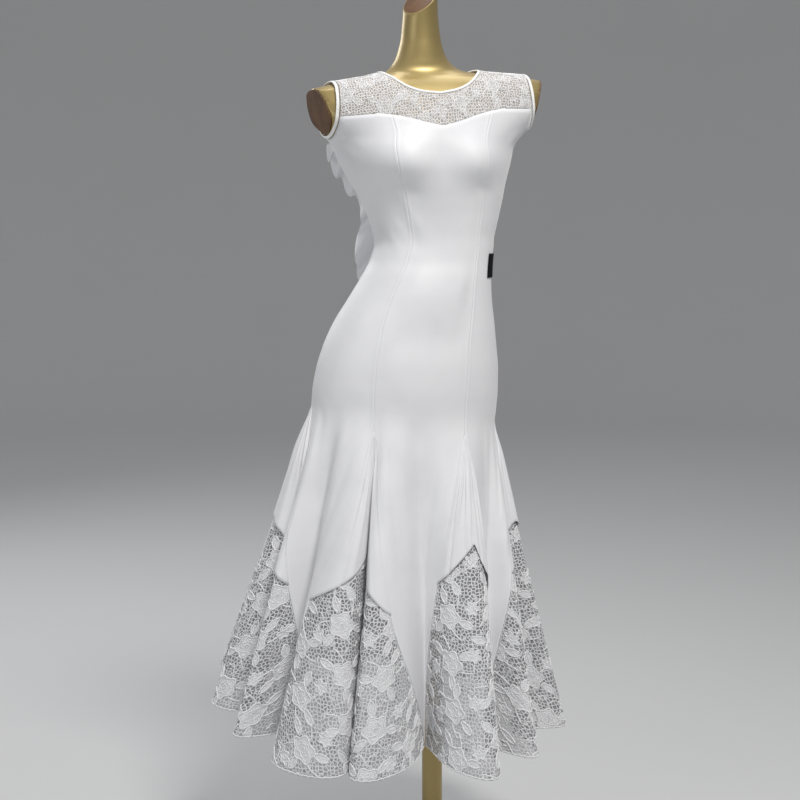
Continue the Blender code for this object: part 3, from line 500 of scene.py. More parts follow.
class Nodes:
    # a material with short calls for its noise, ramps, blends and bumps
    def __init__(self, name, roughness=0.6, **fixed):
        self.material = bpy.data.materials.new(name)
        self.material.use_nodes = True
        self.tree = self.material.node_tree
        self.shader = self.tree.nodes["Principled BSDF"]
        self.shader.inputs["Roughness"].default_value = roughness
        for key, value in fixed.items():
            self.shader.inputs[key.replace("_", " ")].default_value = value

    def add(self, kind, **settings):
        node = self.tree.nodes.new(kind)
        for key, value in settings.items():
            setattr(node, key, value)
        return node

    def join(self, value, socket):
        if isinstance(value, (int, float, tuple)):
            socket.default_value = value
        else:
            self.tree.links.new(value.socket if isinstance(value, Value) else value, socket)

    def sum(self, operation, *values):
        node = self.add("ShaderNodeMath", operation=operation)
        for value, socket in zip(values, node.inputs):
            self.join(value, socket)
        return Value(self, node.outputs[0])

    def clamp(self, value, low, high, first=0.0, last=1.0, kind="SMOOTHSTEP"):
        # value's way from low to high, as a number from first to last
        node = self.add("ShaderNodeMapRange", interpolation_type=kind)
        for setting, socket in zip((value, low, high, first, last), node.inputs):
            self.join(setting, socket)
        return Value(self, node.outputs[0])

    def blend(self, share, first, last):
        node = self.add("ShaderNodeMix", data_type="RGBA")
        self.join(share, node.inputs[0])
        self.join((*first, 1.0) if isinstance(first, tuple) else first, node.inputs[6])
        self.join((*last, 1.0) if isinstance(last, tuple) else last, node.inputs[7])
        return node.outputs[2]

    def place(self):
        return self.add("ShaderNodeTexCoord").outputs["Object"]

    def cloth(self):
        return self.add("ShaderNodeUVMap", uv_map="cloth").outputs["UV"]

    def stretch(self, vector, scale, turn=0.0):
        node = self.add("ShaderNodeMapping")
        self.join(vector, node.inputs["Vector"])
        node.inputs["Scale"].default_value = scale
        node.inputs["Rotation"].default_value = (0.0, 0.0, turn)
        return node.outputs[0]

    def noise(self, vector, scale, detail=2.0, rough=0.5):
        node = self.add("ShaderNodeTexNoise")
        self.join(vector, node.inputs["Vector"])
        node.inputs["Scale"].default_value = scale
        node.inputs["Detail"].default_value = detail
        node.inputs["Roughness"].default_value = rough
        return Value(self, node.outputs[0])

    def cells(self, vector, size, loose):
        # distance to the nearest edge of a net of cells, as a share of their size
        node = self.add("ShaderNodeTexVoronoi", feature="DISTANCE_TO_EDGE", voronoi_dimensions="2D")
        self.join(vector, node.inputs["Vector"])
        node.inputs["Scale"].default_value = 1 / size
        node.inputs["Randomness"].default_value = loose
        return Value(self, node.outputs["Distance"])

    def split(self, vector):
        node = self.add("ShaderNodeSeparateXYZ")
        self.join(vector, node.inputs[0])
        return Value(self, node.outputs[0]), Value(self, node.outputs[1])

    def wave(self, value, length):
        # a sine along value, its length in metres
        return (value * (2 * math.pi / length)).sine()

    def bump(self, height, distance, strength=1.0, under=None):
        node = self.add("ShaderNodeBump")
        node.inputs["Strength"].default_value = strength
        node.inputs["Distance"].default_value = distance
        self.join(height, node.inputs["Height"])
        if under is not None:
            self.join(under, node.inputs["Normal"])
        return node.outputs[0]

    def give(self, **sockets):
        for key, value in sockets.items():
            self.join(value, self.shader.inputs[key.replace("_", " ")])
        return self.material


def darker(tint, share):
    return tuple(level * share for level in tint)


jerseyLook = {
    "tint": (0.86, 0.86, 0.875), "shade": (0.80, 0.80, 0.82),
    "wale": 0.0009, "course": 0.0007,           # the knit's columns and rows, metres
    "knitDepth": 0.00007, "softDepth": 0.0016,  # how deep the knit and the slack of the cloth read
}


def jerseyFinish():
    # fine jersey: wales and courses under a millimetre, slight cloudiness, a silky sheen
    look = jerseyLook
    made = Nodes("milk silk jersey", roughness=0.5, Sheen_Weight=0.35, Sheen_Roughness=0.35,
                 Specular_IOR_Level=0.35, Subsurface_Weight=0.0)
    place = made.cloth()
    across, down = made.split(place)
    weave = (made.wave(across, look["wale"]) + made.wave(down, look["course"])) * 0.25
    cloud = made.noise(made.place(), 9.0, 3.0)
    slub = made.noise(made.stretch(place, (60.0, 900.0, 1.0)), 1.0)
    soft = made.noise(made.stretch(place, (14.0, 3.0, 1.0)), 1.0, 3.0)
    under = made.bump(soft, look["softDepth"], 0.45)
    return made.give(Base_Color=made.blend(made.clamp(cloud, 0.35, 0.7), look["tint"], look["shade"]),
                     Roughness=made.clamp(cloud, 0.3, 0.7, 0.42, 0.56, "LINEAR"),
                     Normal=made.bump(weave + slub * 0.6, look["knitDepth"], 0.6, under))


lacePattern = {
    "pitchU": 0.084, "pitchV": 0.077,      # the repeat, metres
    "rose": 0.0190, "roseWave": 0.0028,    # mean radius and petal depth
    "leafAt": 0.0330, "leafLong": 0.0140, "leafWide": 0.0062,
    "spray": 0.0100, "sprayWave": 0.0026,  # the small flowers between
    "turnU": 2.399, "turnV": 1.3,          # each motif is turned by its place in the repeat
    "net": 0.0062, "thread": 0.15,         # the ground's mesh, and its thread as a share of it
    "fineNet": 0.0016,                     # the mesh of the ground's denser patches
    "drift": 34.0, "turns": 7.0,           # curved threads over the ground: scale, and how many to a drift
    "rings": 0.0042, "ribs": 34.0,         # rings and rays of stitches inside a motif
    "soft": 0.0004,                        # half the width over which a motif's outline fades
    "line": (0.12, 0.26), "lineTint": (0.88, 0.88, 0.89),
    "cellDark": 0.36,                      # the shade in the cells, as a share of the cloth's own shade
    "relief": 0.0008,                      # how high the lines stand; motifs and threads as shares of it
    "lineHigh": 0.8, "motifHigh": 0.8, "ribHigh": 0.15, "threadHigh": 0.5,
}
laceLooks = {
    # tint, its shade, where the ground closes, how solid a motif is, the cells' painted shade, and how far a
    # sheet closes the cells: a dark sheet of painted shade in the rose lace, a pale tulle ground in the yoke
    # lace
    "corded rose lace": {"tint": (0.88, 0.88, 0.90), "shade": (0.60, 0.60, 0.62), "closes": 0.60,
                         "fill": (0.85, 1.0), "hollow": 0.82, "tulleAndShadeSheet": 0.30},
    "fine yoke lace": {"tint": (0.84, 0.81, 0.79), "shade": (0.74, 0.70, 0.67), "closes": 0.70,
                       "fill": (0.30, 0.62), "hollow": 0.25, "tulleAndShadeSheet": 0.40},
}


def laceFinish(name):
    # a net ground, denser roses, leaves and sprays in a staggered repeat on the cloth's own uv
    look, p = laceLooks[name], lacePattern
    made = Nodes(name, roughness=0.75, Sheen_Weight=0.2, Specular_IOR_Level=0.25)
    place = made.cloth()
    across, down = made.split(place)

    def motif(shiftU, shiftV):
        # column number, row number with a half-drop, then the place inside the cell, turned
        u = across / p["pitchU"] + shiftU
        i = u.floor()
        v = down / p["pitchV"] + shiftV + i % 2.0 * 0.5
        j = v.floor()
        x, y = (u - i - 0.5) * p["pitchU"], (v - j - 0.5) * p["pitchV"]
        turn = i * p["turnU"] + j * p["turnV"]
        return (x * x + y * y).root(), made.sum("ARCTAN2", y, x) - turn

    # distances to a five-petalled rose, three leaves round it and a six-petalled spray between
    reach, angle = motif(0.0, 0.0)
    rose = reach - ((angle * 5.0).cosine() * p["roseWave"] + p["rose"])
    third = 2 * math.pi / 3
    fan = angle % third - third / 2
    leafX = (reach * fan.cosine() - p["leafAt"]) / p["leafLong"]
    leafY = reach * fan.sine() / p["leafWide"]
    leaf = (leafX * leafX + leafY.size() - 1.0) * p["leafWide"]
    reachB, angleB = motif(0.5, 0.25)
    spray = reachB - ((angleB * 6.0).cosine() * p["sprayWave"] + p["spray"])
    nearest = rose.lower(leaf).lower(spray)
    filled = made.clamp(nearest, -p["soft"], p["soft"], 1.0, 0.0)
    stitched = made.clamp(made.wave(nearest, p["rings"]), -0.3, 0.3, *look["fill"])

    # the ground: net, denser patches of it, and threads that wander over both
    net = made.cells(place, p["net"], 0.75)
    threads = made.clamp(net, p["thread"] * 0.75, p["thread"] * 1.25, 1.0, 0.0)
    patch = made.clamp(made.noise(place, p["drift"], 2.0, 0.55), look["closes"] - 0.04, look["closes"] + 0.04)
    veil = made.clamp(made.cells(place, p["fineNet"], 0.3), 0.12, 0.3, 0.95, 0.72)
    swirl = made.wave(made.noise(place, p["drift"]), 1 / p["turns"])
    lined = made.clamp(swirl.size(), *p["line"], 1.0, 0.0)
    ground = threads.higher(patch * veil).higher(lined)
    # a sheet in the cells' colour closes them a little: in the rose lace a dark sheet of painted shade, in
    # the yoke lace a pale tulle ground
    alpha = ground.higher(filled * stitched).higher(look["tulleAndShadeSheet"])

    # the thin middles of the cells are in the shade of their threads
    hollow = made.clamp(net, p["thread"] * 0.7, p["thread"] * 1.5, 0.0, look["hollow"]) * (1.0 - filled)
    colour = made.blend(filled * 0.85, look["shade"], look["tint"])
    colour = made.blend(threads * 0.5, colour, look["tint"])
    colour = made.blend(hollow, colour, darker(look["shade"], p["cellDark"]))
    colour = made.blend(lined * 0.7, colour, p["lineTint"])
    ribs = (angle * p["ribs"]).sine()
    height = lined * p["lineHigh"] + filled * (ribs * p["ribHigh"] + p["motifHigh"])
    height = height + threads * p["threadHigh"]
    return made.give(Base_Color=colour, Alpha=alpha, Normal=made.bump(height, p["relief"], 0.8))


cordLook = {"tint": (0.95, 0.95, 0.96), "strands": 900.0, "waver": 1.5}


def cordFinish():
    # twisted cotton cord, its strands slanting
    look = cordLook
    made = Nodes("lace cord", roughness=0.6, Sheen_Weight=0.25, Specular_IOR_Level=0.4)
    strands = made.add("ShaderNodeTexWave", wave_type="BANDS", bands_direction="DIAGONAL")
    made.join(made.place(), strands.inputs["Vector"])
    strands.inputs["Scale"].default_value = look["strands"]
    strands.inputs["Distortion"].default_value = look["waver"]
    colour = made.blend(made.noise(made.place(), 60.0), look["tint"], darker(look["tint"], 0.95))
    return made.give(Base_Color=colour, Normal=made.bump(strands.outputs[1], 0.0002, 0.4))


bindingLook = {
    "tint": (0.93, 0.92, 0.90), "rib": 0.0012,
    "stitch": 0.003, "stitchAt": -0.0012, "stitchHalf": (0.0003, 0.0005),
}


def bindingFinish():
    # folded elastic binding: fine ribs across, a row of stitches by one edge
    look = bindingLook
    made = Nodes("white elastic binding", roughness=0.5, Sheen_Weight=0.3, Specular_IOR_Level=0.4)
    across, down = made.split(made.cloth())
    row = made.clamp((down - look["stitchAt"]).size(), *look["stitchHalf"], 1.0, 0.0)
    stitch = made.clamp(made.wave(across, look["stitch"]), -0.4, 0.1) * row
    height = made.wave(across, look["rib"]) * 0.3 - stitch
    colour = made.blend(stitch, look["tint"], darker(look["tint"], 0.8))
    return made.give(Base_Color=colour, Normal=made.bump(height, 0.0003, 0.7))


goldLook = {"deep": (0.40, 0.30, 0.12), "light": (0.48, 0.37, 0.16), "rubbed": (0.30, 0.20, 0.07)}


def goldFinish():
    # satin gold paint: a metallic base clouded by spraying, fine grain, a few dull rubs
    look = goldLook
    made = Nodes("satin gold paint", roughness=0.3, Metallic=0.72, Coat_Weight=0.25, Coat_Roughness=0.2)
    place = made.place()
    cloud = made.noise(place, 5.0, 3.0)
    grain = made.noise(place, 1400.0, 1.0)
    rubs = made.clamp(made.noise(made.stretch(place, (1.0, 1.0, 0.35)), 16.0, 4.0, 0.6), 0.60, 0.72)
    colour = made.blend(made.clamp(cloud, 0.3, 0.7), look["deep"], look["light"])
    colour = made.blend(rubs * 0.4, colour, look["rubbed"])
    rough = made.clamp(cloud, 0.3, 0.7, 0.40, 0.48, "LINEAR") + rubs * 0.12
    return made.give(Base_Color=colour, Roughness=rough, Normal=made.bump(grain, 0.00012, 0.25))


def cutFinish():
    # dark brown for the faces of the arm cuts and of the neck's cut: brushed, slightly mottled
    made = Nodes("dark brown cut face", roughness=0.5, Specular_IOR_Level=0.4)
    place = made.place()
    brush = made.noise(made.stretch(place, (1.0, 1.0, 0.08)), 320.0)
    mottle = made.clamp(made.noise(place, 30.0, 3.0), 0.3, 0.7)
    return made.give(Base_Color=made.blend(mottle, (0.10, 0.045, 0.018), (0.15, 0.075, 0.03)),
                     Roughness=made.clamp(brush, 0.3, 0.7, 0.4, 0.6, "LINEAR"),
                     Normal=made.bump(brush, 0.0002, 0.4))


steelLook = {"deep": (0.15, 0.115, 0.07), "light": (0.21, 0.165, 0.105), "worn": (0.36, 0.31, 0.24)}


def steelFinish():
    # bronzed steel: powder grain, cloudiness and faint scuffs
    look = steelLook
    made = Nodes("bronzed steel", roughness=0.4, Metallic=0.85)
    place = made.place()
    grain = made.noise(place, 700.0)
    scuff = made.clamp(made.noise(made.stretch(place, (1.0, 0.12, 1.0), 0.5), 90.0, 4.0, 0.6), 0.62, 0.70)
    cloud = made.noise(place, 11.0, 3.0)
    colour = made.blend(made.clamp(cloud, 0.3, 0.7), look["deep"], look["light"])
    colour = made.blend(scuff * 0.5, colour, look["worn"])
    rough = made.clamp(cloud, 0.3, 0.7, 0.34, 0.46, "LINEAR") - scuff * 0.1
    return made.give(Base_Color=colour, Roughness=rough, Normal=made.bump(grain, 0.0002, 0.35))


labelLook = {"deep": (0.004, 0.004, 0.005), "light": (0.010, 0.010, 0.012), "warp": 0.0006, "weft": 0.0009}


def labelFinish():
    # black woven satin, plain, its weave lines just visible
    look = labelLook
    made = Nodes("black woven label", roughness=0.75, Specular_IOR_Level=0.12)
    across, down = made.split(made.cloth())
    weave = made.wave(down, look["warp"]) + made.wave(across, look["weft"])
    colour = made.blend(made.noise(made.place(), 130.0, 3.0), look["deep"], look["light"])
    return made.give(Base_Color=colour, Normal=made.bump(weave, 0.00008, 0.6))


jersey, cord, binding = jerseyFinish(), cordFinish(), bindingFinish()
lace, yokeLace = laceFinish("corded rose lace"), laceFinish("fine yoke lace")
gold, cutBrown, steel, black = goldFinish(), cutFinish(), steelFinish(), labelFinish()
print("finishes made")


# ---- the dress form and its stand

formShape = {
    "sides": 144, "rows": 200,
    # the neck's slanting cut: lowest level, slope, where the neck starts to be drawn up, the uncut top
    "neckLow": 1.515, "neckSlope": 0.62, "neckFrom": 1.47, "top": 1.548,
    "neckX": -0.045, "neckY": -0.02, "rimShare": 0.955, "rimUp": 0.0008,
    "armSides": 96, "armGap": 0.0003, "armFrom": 1.30, "sharp": 38,
    # the arm cut's face: share of the loop and height above it, from its edge to its middle
    "armFace": ((0.93, 0.0), (0.935, 0.0012), (0.925, 0.0019), (0.90, 0.002), (0.5, 0.002), (0.02, 0.002),
                (0.02, 0.0)),
}


def makeForm():
    # rings of the body drawn in a little, points beyond each arm cut brought back onto its plane
    f = formShape
    keys = bodyColumns["z"]
    levels = np.unique(np.concatenate([np.interp(np.linspace(0, len(keys) - 1, f["rows"]),
                                                 np.arange(len(keys)), keys), keys]))
    angle, level = np.meshgrid(np.arange(f["sides"]) * 360 / f["sides"], levels)
    points = body(angle, level)
    points = points - outward(points) * (torso["inset"] * ease(keys[0], keys[0] + 0.004, level))[..., None]
    centre = ring("cx", torso["axisZ"])
    across = points[..., 0] - centre
    limit = planeAcross(armholes["cut"], points[..., 1], points[..., 2])
    beyond = (np.abs(across) > limit) & (points[..., 2] > f["armFrom"])
    points[..., 0] = np.where(beyond, centre + np.sign(across) * limit, points[..., 0])
    away = points[..., 0] - f["neckX"] + points[..., 1] - f["neckY"]
    share = np.clip((points[..., 2] - f["neckFrom"]) / (f["top"] - f["neckFrom"]), 0, None)
    points[..., 2] += share * (f["neckLow"] + f["neckSlope"] * away - f["top"])
    count = f["sides"]
    points = points.reshape(-1, 3)
    last, low = len(points) - count, len(points)
    # the bottom is closed to its middle; the neck's cut has a small rolled edge and its own face
    bottom, neck = points[:count].mean(axis=0), points[last:].mean(axis=0)
    rim = neck + (points[last:] - neck) * f["rimShare"] + np.array([0, 0, f["rimUp"]])
    faces = gridFaces(len(levels), count, closed=True)[:, ::-1].tolist()
    pairs = [(k, (k + 1) % count) for k in range(count)]
    faces += [[low, b, a] for a, b in pairs]
    faces += [[last + a, last + b, low + 1 + b, low + 1 + a] for a, b in pairs]
    faces += [[low + 1 + k for k in range(count)]]
    mesh = bpy.data.meshes.new("form_body")
    mesh.from_pydata(leanShoulders(np.concatenate([points, [bottom], rim])).tolist(), [], faces)
    mesh.update()
    mesh.shade_smooth()
    mesh.set_sharp_from_angle(angle=math.radians(f["sharp"]))
    mesh.materials.append(gold)
    mesh.materials.append(cutBrown)
    mesh.polygons[len(mesh.polygons) - 1].material_index = 1
    placePiece(addObject("form_body", mesh), "gold_paint", "form_torso")


makeForm()


def makeArmFace(hand, side):
    # a flat dark disc in the arm's cut, its rim rounded over
    loop = armLoop(armholes["cut"], side, formShape["armGap"], formShape["armSides"])
    centre = loop.mean(axis=0)
    quarter = formShape["armSides"] // 4
    out = unit(np.cross(loop[quarter] - loop[0], loop[2 * quarter] - loop[0]))
    out = out * math.copysign(1, out[0] * side)
    grid = np.array([centre + (loop - centre) * share + out * lift for share, lift in formShape["armFace"]])
    made = makePiece("arm_face_" + hand, grid, gridFaces(*grid.shape[:2], closed=True), cutBrown,
                     flip=side > 0)
    turnOut(made)
    placePiece(made, "cut_face", "form_arm_cut_" + hand)


def turnOut(made):
    # closes the small hole that a ring leaves at its middle, and turns the faces outward
    work = bmesh.new()
    work.from_mesh(made.data)
    bmesh.ops.holes_fill(work, edges=[e for e in work.edges if e.is_boundary], sides=200)
    bmesh.ops.recalc_face_normals(work, faces=work.faces)
    work.to_mesh(made.data)
    work.free()
    made.data.set_sharp_from_angle(angle=math.radians(40))


for hand, side in (("left", 1), ("right", -1)):
    makeArmFace(hand, side)
print("form made")

standShape = {
    # radius and height of each profile's points
    "base": ((0.0, 0.0), (0.1775, 0.0), (0.1795, 0.0006), (0.18, 0.002), (0.18, 0.0095), (0.1788, 0.0112),
             (0.1765, 0.012), (0.168, 0.012), (0.1668, 0.0116), (0.1656, 0.0116), (0.1644, 0.012),
             (0.0, 0.012)),
    "flange": ((0.0, 0.0123), (0.0355, 0.0123), (0.036, 0.0135), (0.036, 0.0175), (0.0348, 0.0188),
               (0.0285, 0.0200), (0.0272, 0.0215), (0.0262, 0.0385), (0.0250, 0.0412), (0.0228, 0.042),
               (0.0, 0.042)),
    "pole": ((0.0, 0.0423), (0.018, 0.0423), (0.018, 0.060), (0.0176, 0.0604), (0.0176, 0.062),
             (0.018, 0.0624), (0.018, 0.40), (0.018, 0.7897), (0.0, 0.7897)),
    "around": 128, "smallest": 0.0004,
}


def makeTurned(name, profile, finish, slot, node):
    # a profile of radius and height carried round the pole's axis
    turn = np.linspace(0, 2 * math.pi, standShape["around"], endpoint=False)
    radius, level = np.array(profile).T
    radius = np.maximum(radius, standShape["smallest"])
    grid = np.stack([np.outer(radius, np.cos(turn)), np.outer(radius, np.sin(turn)),
                     np.outer(level, np.ones(len(turn)))], axis=-1)
    made = makePiece(name, grid, gridFaces(len(profile), len(turn), closed=True), finish, lean=False)
    turnOut(made)
    placePiece(made, slot, node)


makeTurned("base_plate", standShape["base"], steel, "base_metal", "stand_base")
makeTurned("pole_flange", standShape["flange"], steel, "base_metal", "stand_flange")
makeTurned("pole_tube", standShape["pole"], gold, "gold_paint", "stand_pole")
print("stand made")


# ---- jersey panels: top edge to hip on the body, then straight down to a narrow point at the hem

panelShape = {
    # the seams on the two sides of each panel
    "panels": {
        "panel_centre_front": (-1, 1), "panel_side_front_left": (1, 2), "panel_side_back_left": (2, 3),
        "panel_centre_back": (3, 4), "panel_side_back_right": (4, 5), "panel_side_front_right": (5, 6),
    },
    "columns": 46, "bodiceRows": 84, "skirtRows": 54, "wall": 0.0011,
    "tip": 0.0035, "perFold": 0.09,   # width of the point at the hem, and the cloth from fold to fold there
    "round": 0.030,                   # how far above and below the hip the corner is rounded
    "turnFrom": 0.95,                 # below this level the seams turn to where their godets open
    "topGap": 0.00015,
    "ridge": 0.0006, "ridgeAt": 0.0022, "ridgeWide": 0.0026,   # seam allowances under the cloth
    "groove": 0.0009, "grooveWide": 0.0007,                    # the seam itself
    "band": 0.0005, "bandAt": 0.004, "bandWide": 0.0028,       # the turned-in top edge
    "narrow": 0.03,                   # a stretch narrower than this has lower ridges
}


def hipRound(w, s):
    # what a quadratic arc adds to the corner between the body and the fall line, s metres from it
    r = panelShape["round"]
    angle = hipAngle(w)
    top = hipPoint(angle)
    above = body(angle, top[..., 2] + 0.02)
    into = unit(top - (above + torso["clear"] * outward(above)))
    leave = unit(hem(w) - top)
    u = np.clip((s + r) / (2 * r), 0, 1)[..., None]
    arc = r * (u * u * leave - (1 - u) * (1 - u) * into)
    straight = s[..., None] * np.where(s[..., None] < 0, into, leave)
    return np.where(np.abs(s)[..., None] < r, arc - straight, 0.0)


def cloth(w, t):
    # the skirt with its hip corner rounded
    w = np.asarray(w, dtype=float)
    length = np.linalg.norm(hem(w) - hipPoint(hipAngle(w)), axis=-1)
    return fall(w, t) + hipRound(w, np.asarray(t) * length)


def edgeShares(count, crowd=0.72):
    # shares from 0 to 1, crowded toward both ends
    x = np.linspace(0, 1, count)
    return crowd * (1 - np.cos(np.pi * x)) / 2 + (1 - crowd) * x


def seamRelief(away):
    # a low bell-shaped ridge where the seam allowances lie, less a narrow bell at the seam itself
    p = panelShape
    return (p["ridge"] * np.exp(-((away - p["ridgeAt"]) / p["ridgeWide"])**2)
            - p["groove"] * np.exp(-(away / p["grooveWide"])**2))


slack = {
    "perDegree": 0.0021,   # cloth to a degree round the body, metres
    "fade": 0.012,         # over how much of its length a line fades in and out
    "wrap": 140,           # a place further round than this is met from the other side
    "lines": (
        # angle and level of each end, half width, height: drag lines at bust and waist
        (318, 1.252, 338, 1.222, 0.010, -0.0012), (322, 1.225, 336, 1.165, 0.009, 0.0010),
        (316, 1.190, 334, 1.128, 0.011, -0.0011), (25, 1.236, 44, 1.226, 0.009, -0.0012),
        (300, 1.160, 318, 1.120, 0.010, 0.0009), (42, 1.165, 62, 1.120, 0.010, -0.0008),
        (70, 1.330, 52, 1.300, 0.008, 0.0012), (288, 1.315, 304, 1.296, 0.009, -0.0010),
        (140, 1.130, 168, 1.118, 0.008, 0.0012), (150, 1.158, 182, 1.152, 0.009, -0.0012),
        (196, 1.128, 222, 1.140, 0.008, 0.0012), (120, 1.108, 150, 1.092, 0.009, -0.0010),
        (206, 1.098, 240, 1.112, 0.009, -0.0010), (172, 1.095, 200, 1.100, 0.008, 0.0009),
        # the belly's round and the hollow under it
        (336, 1.062, 384, 1.058, 0.034, 0.0034), (338, 0.985, 386, 0.980, 0.030, -0.0030)),
}


def dragLines(angle, z):
    # soft troughs and ridges on the body: each a bell across a short straight line
    turned = np.asarray(angle, dtype=float)
    total = np.zeros(turned.shape)
    wrap, fade = slack["wrap"], slack["fade"]
    for fromAngle, fromZ, toAngle, toZ, wide, high in slack["lines"]:
        dx, dz = (toAngle - fromAngle) * slack["perDegree"], toZ - fromZ
        length = math.hypot(dx, dz)
        px, pz = ((turned - fromAngle + wrap) % 360 - wrap) * slack["perDegree"], z - fromZ
        along = (px * dx + pz * dz) / length
        off = (px * dz - pz * dx) / length
        ends = ease(-fade, fade, along) * ease(-fade, fade, length - along)
        total += high * np.exp(-(off / wide)**2) * ends
    return total


skirtCreases = {
    # share across at the top and at the foot, where it starts and ends, half width in shares, height
    "panel_centre_front": (
        (0.56, 0.66, 0.02, 0.55, 0.050, -0.0030), (0.40, 0.44, 0.06, 0.50, 0.060, 0.0022),
        (0.22, 0.30, 0.10, 0.60, 0.045, -0.0016), (0.84, 0.80, 0.14, 0.50, 0.040, 0.0016)),
    "panel_side_front_right": (
        (0.30, 0.38, 0.00, 0.42, 0.050, -0.0026), (0.62, 0.60, 0.04, 0.50, 0.060, 0.0022),
        (0.82, 0.74, 0.10, 0.60, 0.045, -0.0016)),
    "panel_side_front_left": (
        (0.34, 0.36, 0.03, 0.45, 0.055, 0.0022), (0.62, 0.66, 0.00, 0.40, 0.050, -0.0026),
        (0.84, 0.74, 0.12, 0.50, 0.045, 0.0014)),
    "panel_side_back_left": (
        (0.40, 0.46, 0.02, 0.46, 0.055, -0.0024), (0.70, 0.64, 0.08, 0.55, 0.050, 0.0018)),
    "panel_side_back_right": (
        (0.36, 0.42, 0.04, 0.50, 0.055, 0.0020), (0.66, 0.60, 0.00, 0.42, 0.050, -0.0024)),
    "panel_centre_back": (
        (0.34, 0.38, 0.00, 0.48, 0.050, -0.0026), (0.56, 0.54, 0.06, 0.55, 0.055, 0.0020),
        (0.76, 0.68, 0.10, 0.50, 0.045, -0.0018)),
}


creaseFade = {"before": 0.03, "after": 0.05, "end": 0.18}   # shares of the way down


def creaseRelief(lines, shares, t):
    # soft troughs and ridges that run down the cloth: each a bell across, fading in and out
    f = creaseFade
    total = np.zeros((len(t), len(shares)))
    for top, foot, start, end, half, high in lines:
        at = top + (foot - top) * t[:, None]
        fade = ease(start - f["before"], start + f["after"], t) * ease(0, f["end"], end - t)
        total += high * fade[:, None] * np.exp(-((shares - at) / half)**2)
    return total


def panelBodice(left, right, shares, wHip):
    # from the top edge to the hip: seam angles at each level, turned to meet the skirt's folds
    p = panelShape
    hipTurn, hipZ = hipAngle(wHip), hipPoint(hipAngle(wHip))[:, 2]

    def angles(level):
        low, high = seamAngle(left, level), seamAngle(right, level)
        plain = low + (high - low) * shares
        turned = hipTurn + 360 * np.round((plain - hipTurn) / 360)
        return plain + (turned - plain) * ease(0.0, 1.0, (p["turnFrom"] - level) / (p["turnFrom"] - hipZ))

    top = np.full(len(shares), 1.33)
    for _ in range(4):
        top = topEdge(angles(top)) - p["topGap"]
    v = np.linspace(0, 1, p["bodiceRows"], endpoint=False)[:, None]
    z = top + (hipZ - top) * v
    turn = np.array([angles(level) for level in z])
    point = body(turn, z)
    out = outward(point)
    lift = torso["clear"] + dragLines(turn, z)
    rounding = hipRound(np.broadcast_to(wHip, z.shape), -(z - hipZ))
    return point + out * lift[..., None] + rounding, out


def panelRelief(name, grid, shares, t):
    # ridges along the seams and the top edge, and the skirt's creases
    p = panelShape
    reach = runLength(grid, axis=1)
    away = np.minimum(reach, reach[:, -1:] - reach)
    relief = seamRelief(away) * np.clip(reach[:, -1:] / p["narrow"], 0.2, 1)
    relief += p["band"] * np.exp(-((runLength(grid) - p["bandAt"]) / p["bandWide"])**2)
    relief[-len(t):] += creaseRelief(skirtCreases[name], shares, t)
    return relief


def makePanel(name, left, right):
    p = panelShape
    shares = edgeShares(p["columns"])
    left0, right0 = float(godetEdges(left, 0.0)[1]), float(godetEdges(right, 0.0)[0])
    # a panel that passes the last fold counts on from it
    passed = max(round((left0 - right0) / foldCount + 0.4), 0) * foldCount
    wHip = left0 + (right0 + passed - left0) * shares
    bodice, out = panelBodice(left, right, shares, wHip)
    t = np.linspace(0, 1, p["skirtRows"])
    edgeLeft, edgeRight = godetEdges(left, t)[1], godetEdges(right, t)[0] + passed
    width = np.maximum(edgeRight - edgeLeft, p["tip"] / p["perFold"])
    w = ((edgeLeft + edgeRight) / 2)[:, None] + width[:, None] * (shares - 0.5)
    grid = np.concatenate([bodice, cloth(w, np.broadcast_to(t[:, None], w.shape))])
    normal = gridNormals(grid)
    if np.sum(normal[5, 5] * out[5, 5]) < 0:
        normal = -normal
    grid = grid + normal * panelRelief(name, grid, shares, t)[..., None]
    made = makePiece(name + "_jersey", grid, gridFaces(*grid.shape[:2]), jersey, uv=clothUv(grid),
                     solid=p["wall"])
    faceOut(made, out[5, 5], 5 * len(shares) + 5)
    placePiece(made, "white_jersey", name)
    cutSheet(made, grid, ["form_body"])


def faceOut(made, wanted, vertex):
    # turn the whole sheet over if its normals point to the body
    mesh = made.data
    if Vector(wanted).dot(mesh.vertices[vertex].normal) < 0:
        mesh.flip_normals()
        mesh.update()


for name, (left, right) in panelShape["panels"].items():
    makePanel(name, left, right)
print("panels made")


# ---- lace godets with their corded motifs, and the jersey overlays on them

godetShape = {
    "rows": 80, "columns": 84, "wall": 0.0005,
    "gap": 0.0003,            # to the panels at each seam
    "pinch": 0.0035,          # room left for a panel's point at the hem
    "start": 0.006,           # the lace begins this much of the fall below the opening
    "smallest": 0.2,          # of a narrow row, the share that the gaps may take at most
    "edge": 0.004,            # cords end this share of the width before each seam
    "hemPoints": 300, "hemUp": 0.0012, "scallop": 0.0008, "scallopLong": 0.012, "hemHalf": 0.0014,
    "sidePoints": 120, "sideIn": 0.0016, "sideHalf": 0.0007,
}


def godetGrid(name, t, shares):
    # fold numbers between the panels' edges at each t, then even steps of cloth along each row
    g = godetShape
    left, right = godetEdges(godets[name]["seam"], t)
    w = left[:, None] + (right - left)[:, None] * np.linspace(0, 1, 400)
    reach = runLength(cloth(w, np.broadcast_to(t[:, None], w.shape)), axis=1)
    whole = reach[:, -1:]
    inset = (2 * g["gap"] + g["pinch"] / 2 * np.clip((t - 0.8) / 0.2, 0, 1))[:, None]
    inset = np.minimum(inset, whole * g["smallest"])
    wanted = inset + (whole - 2 * inset) * shares
    wRow = np.array([np.interp(wanted[k], reach[k], w[k]) for k in range(len(t))])
    grid = cloth(wRow, np.broadcast_to(t[:, None], wRow.shape))
    return wRow, grid, (whole - 2 * inset)[:, 0]


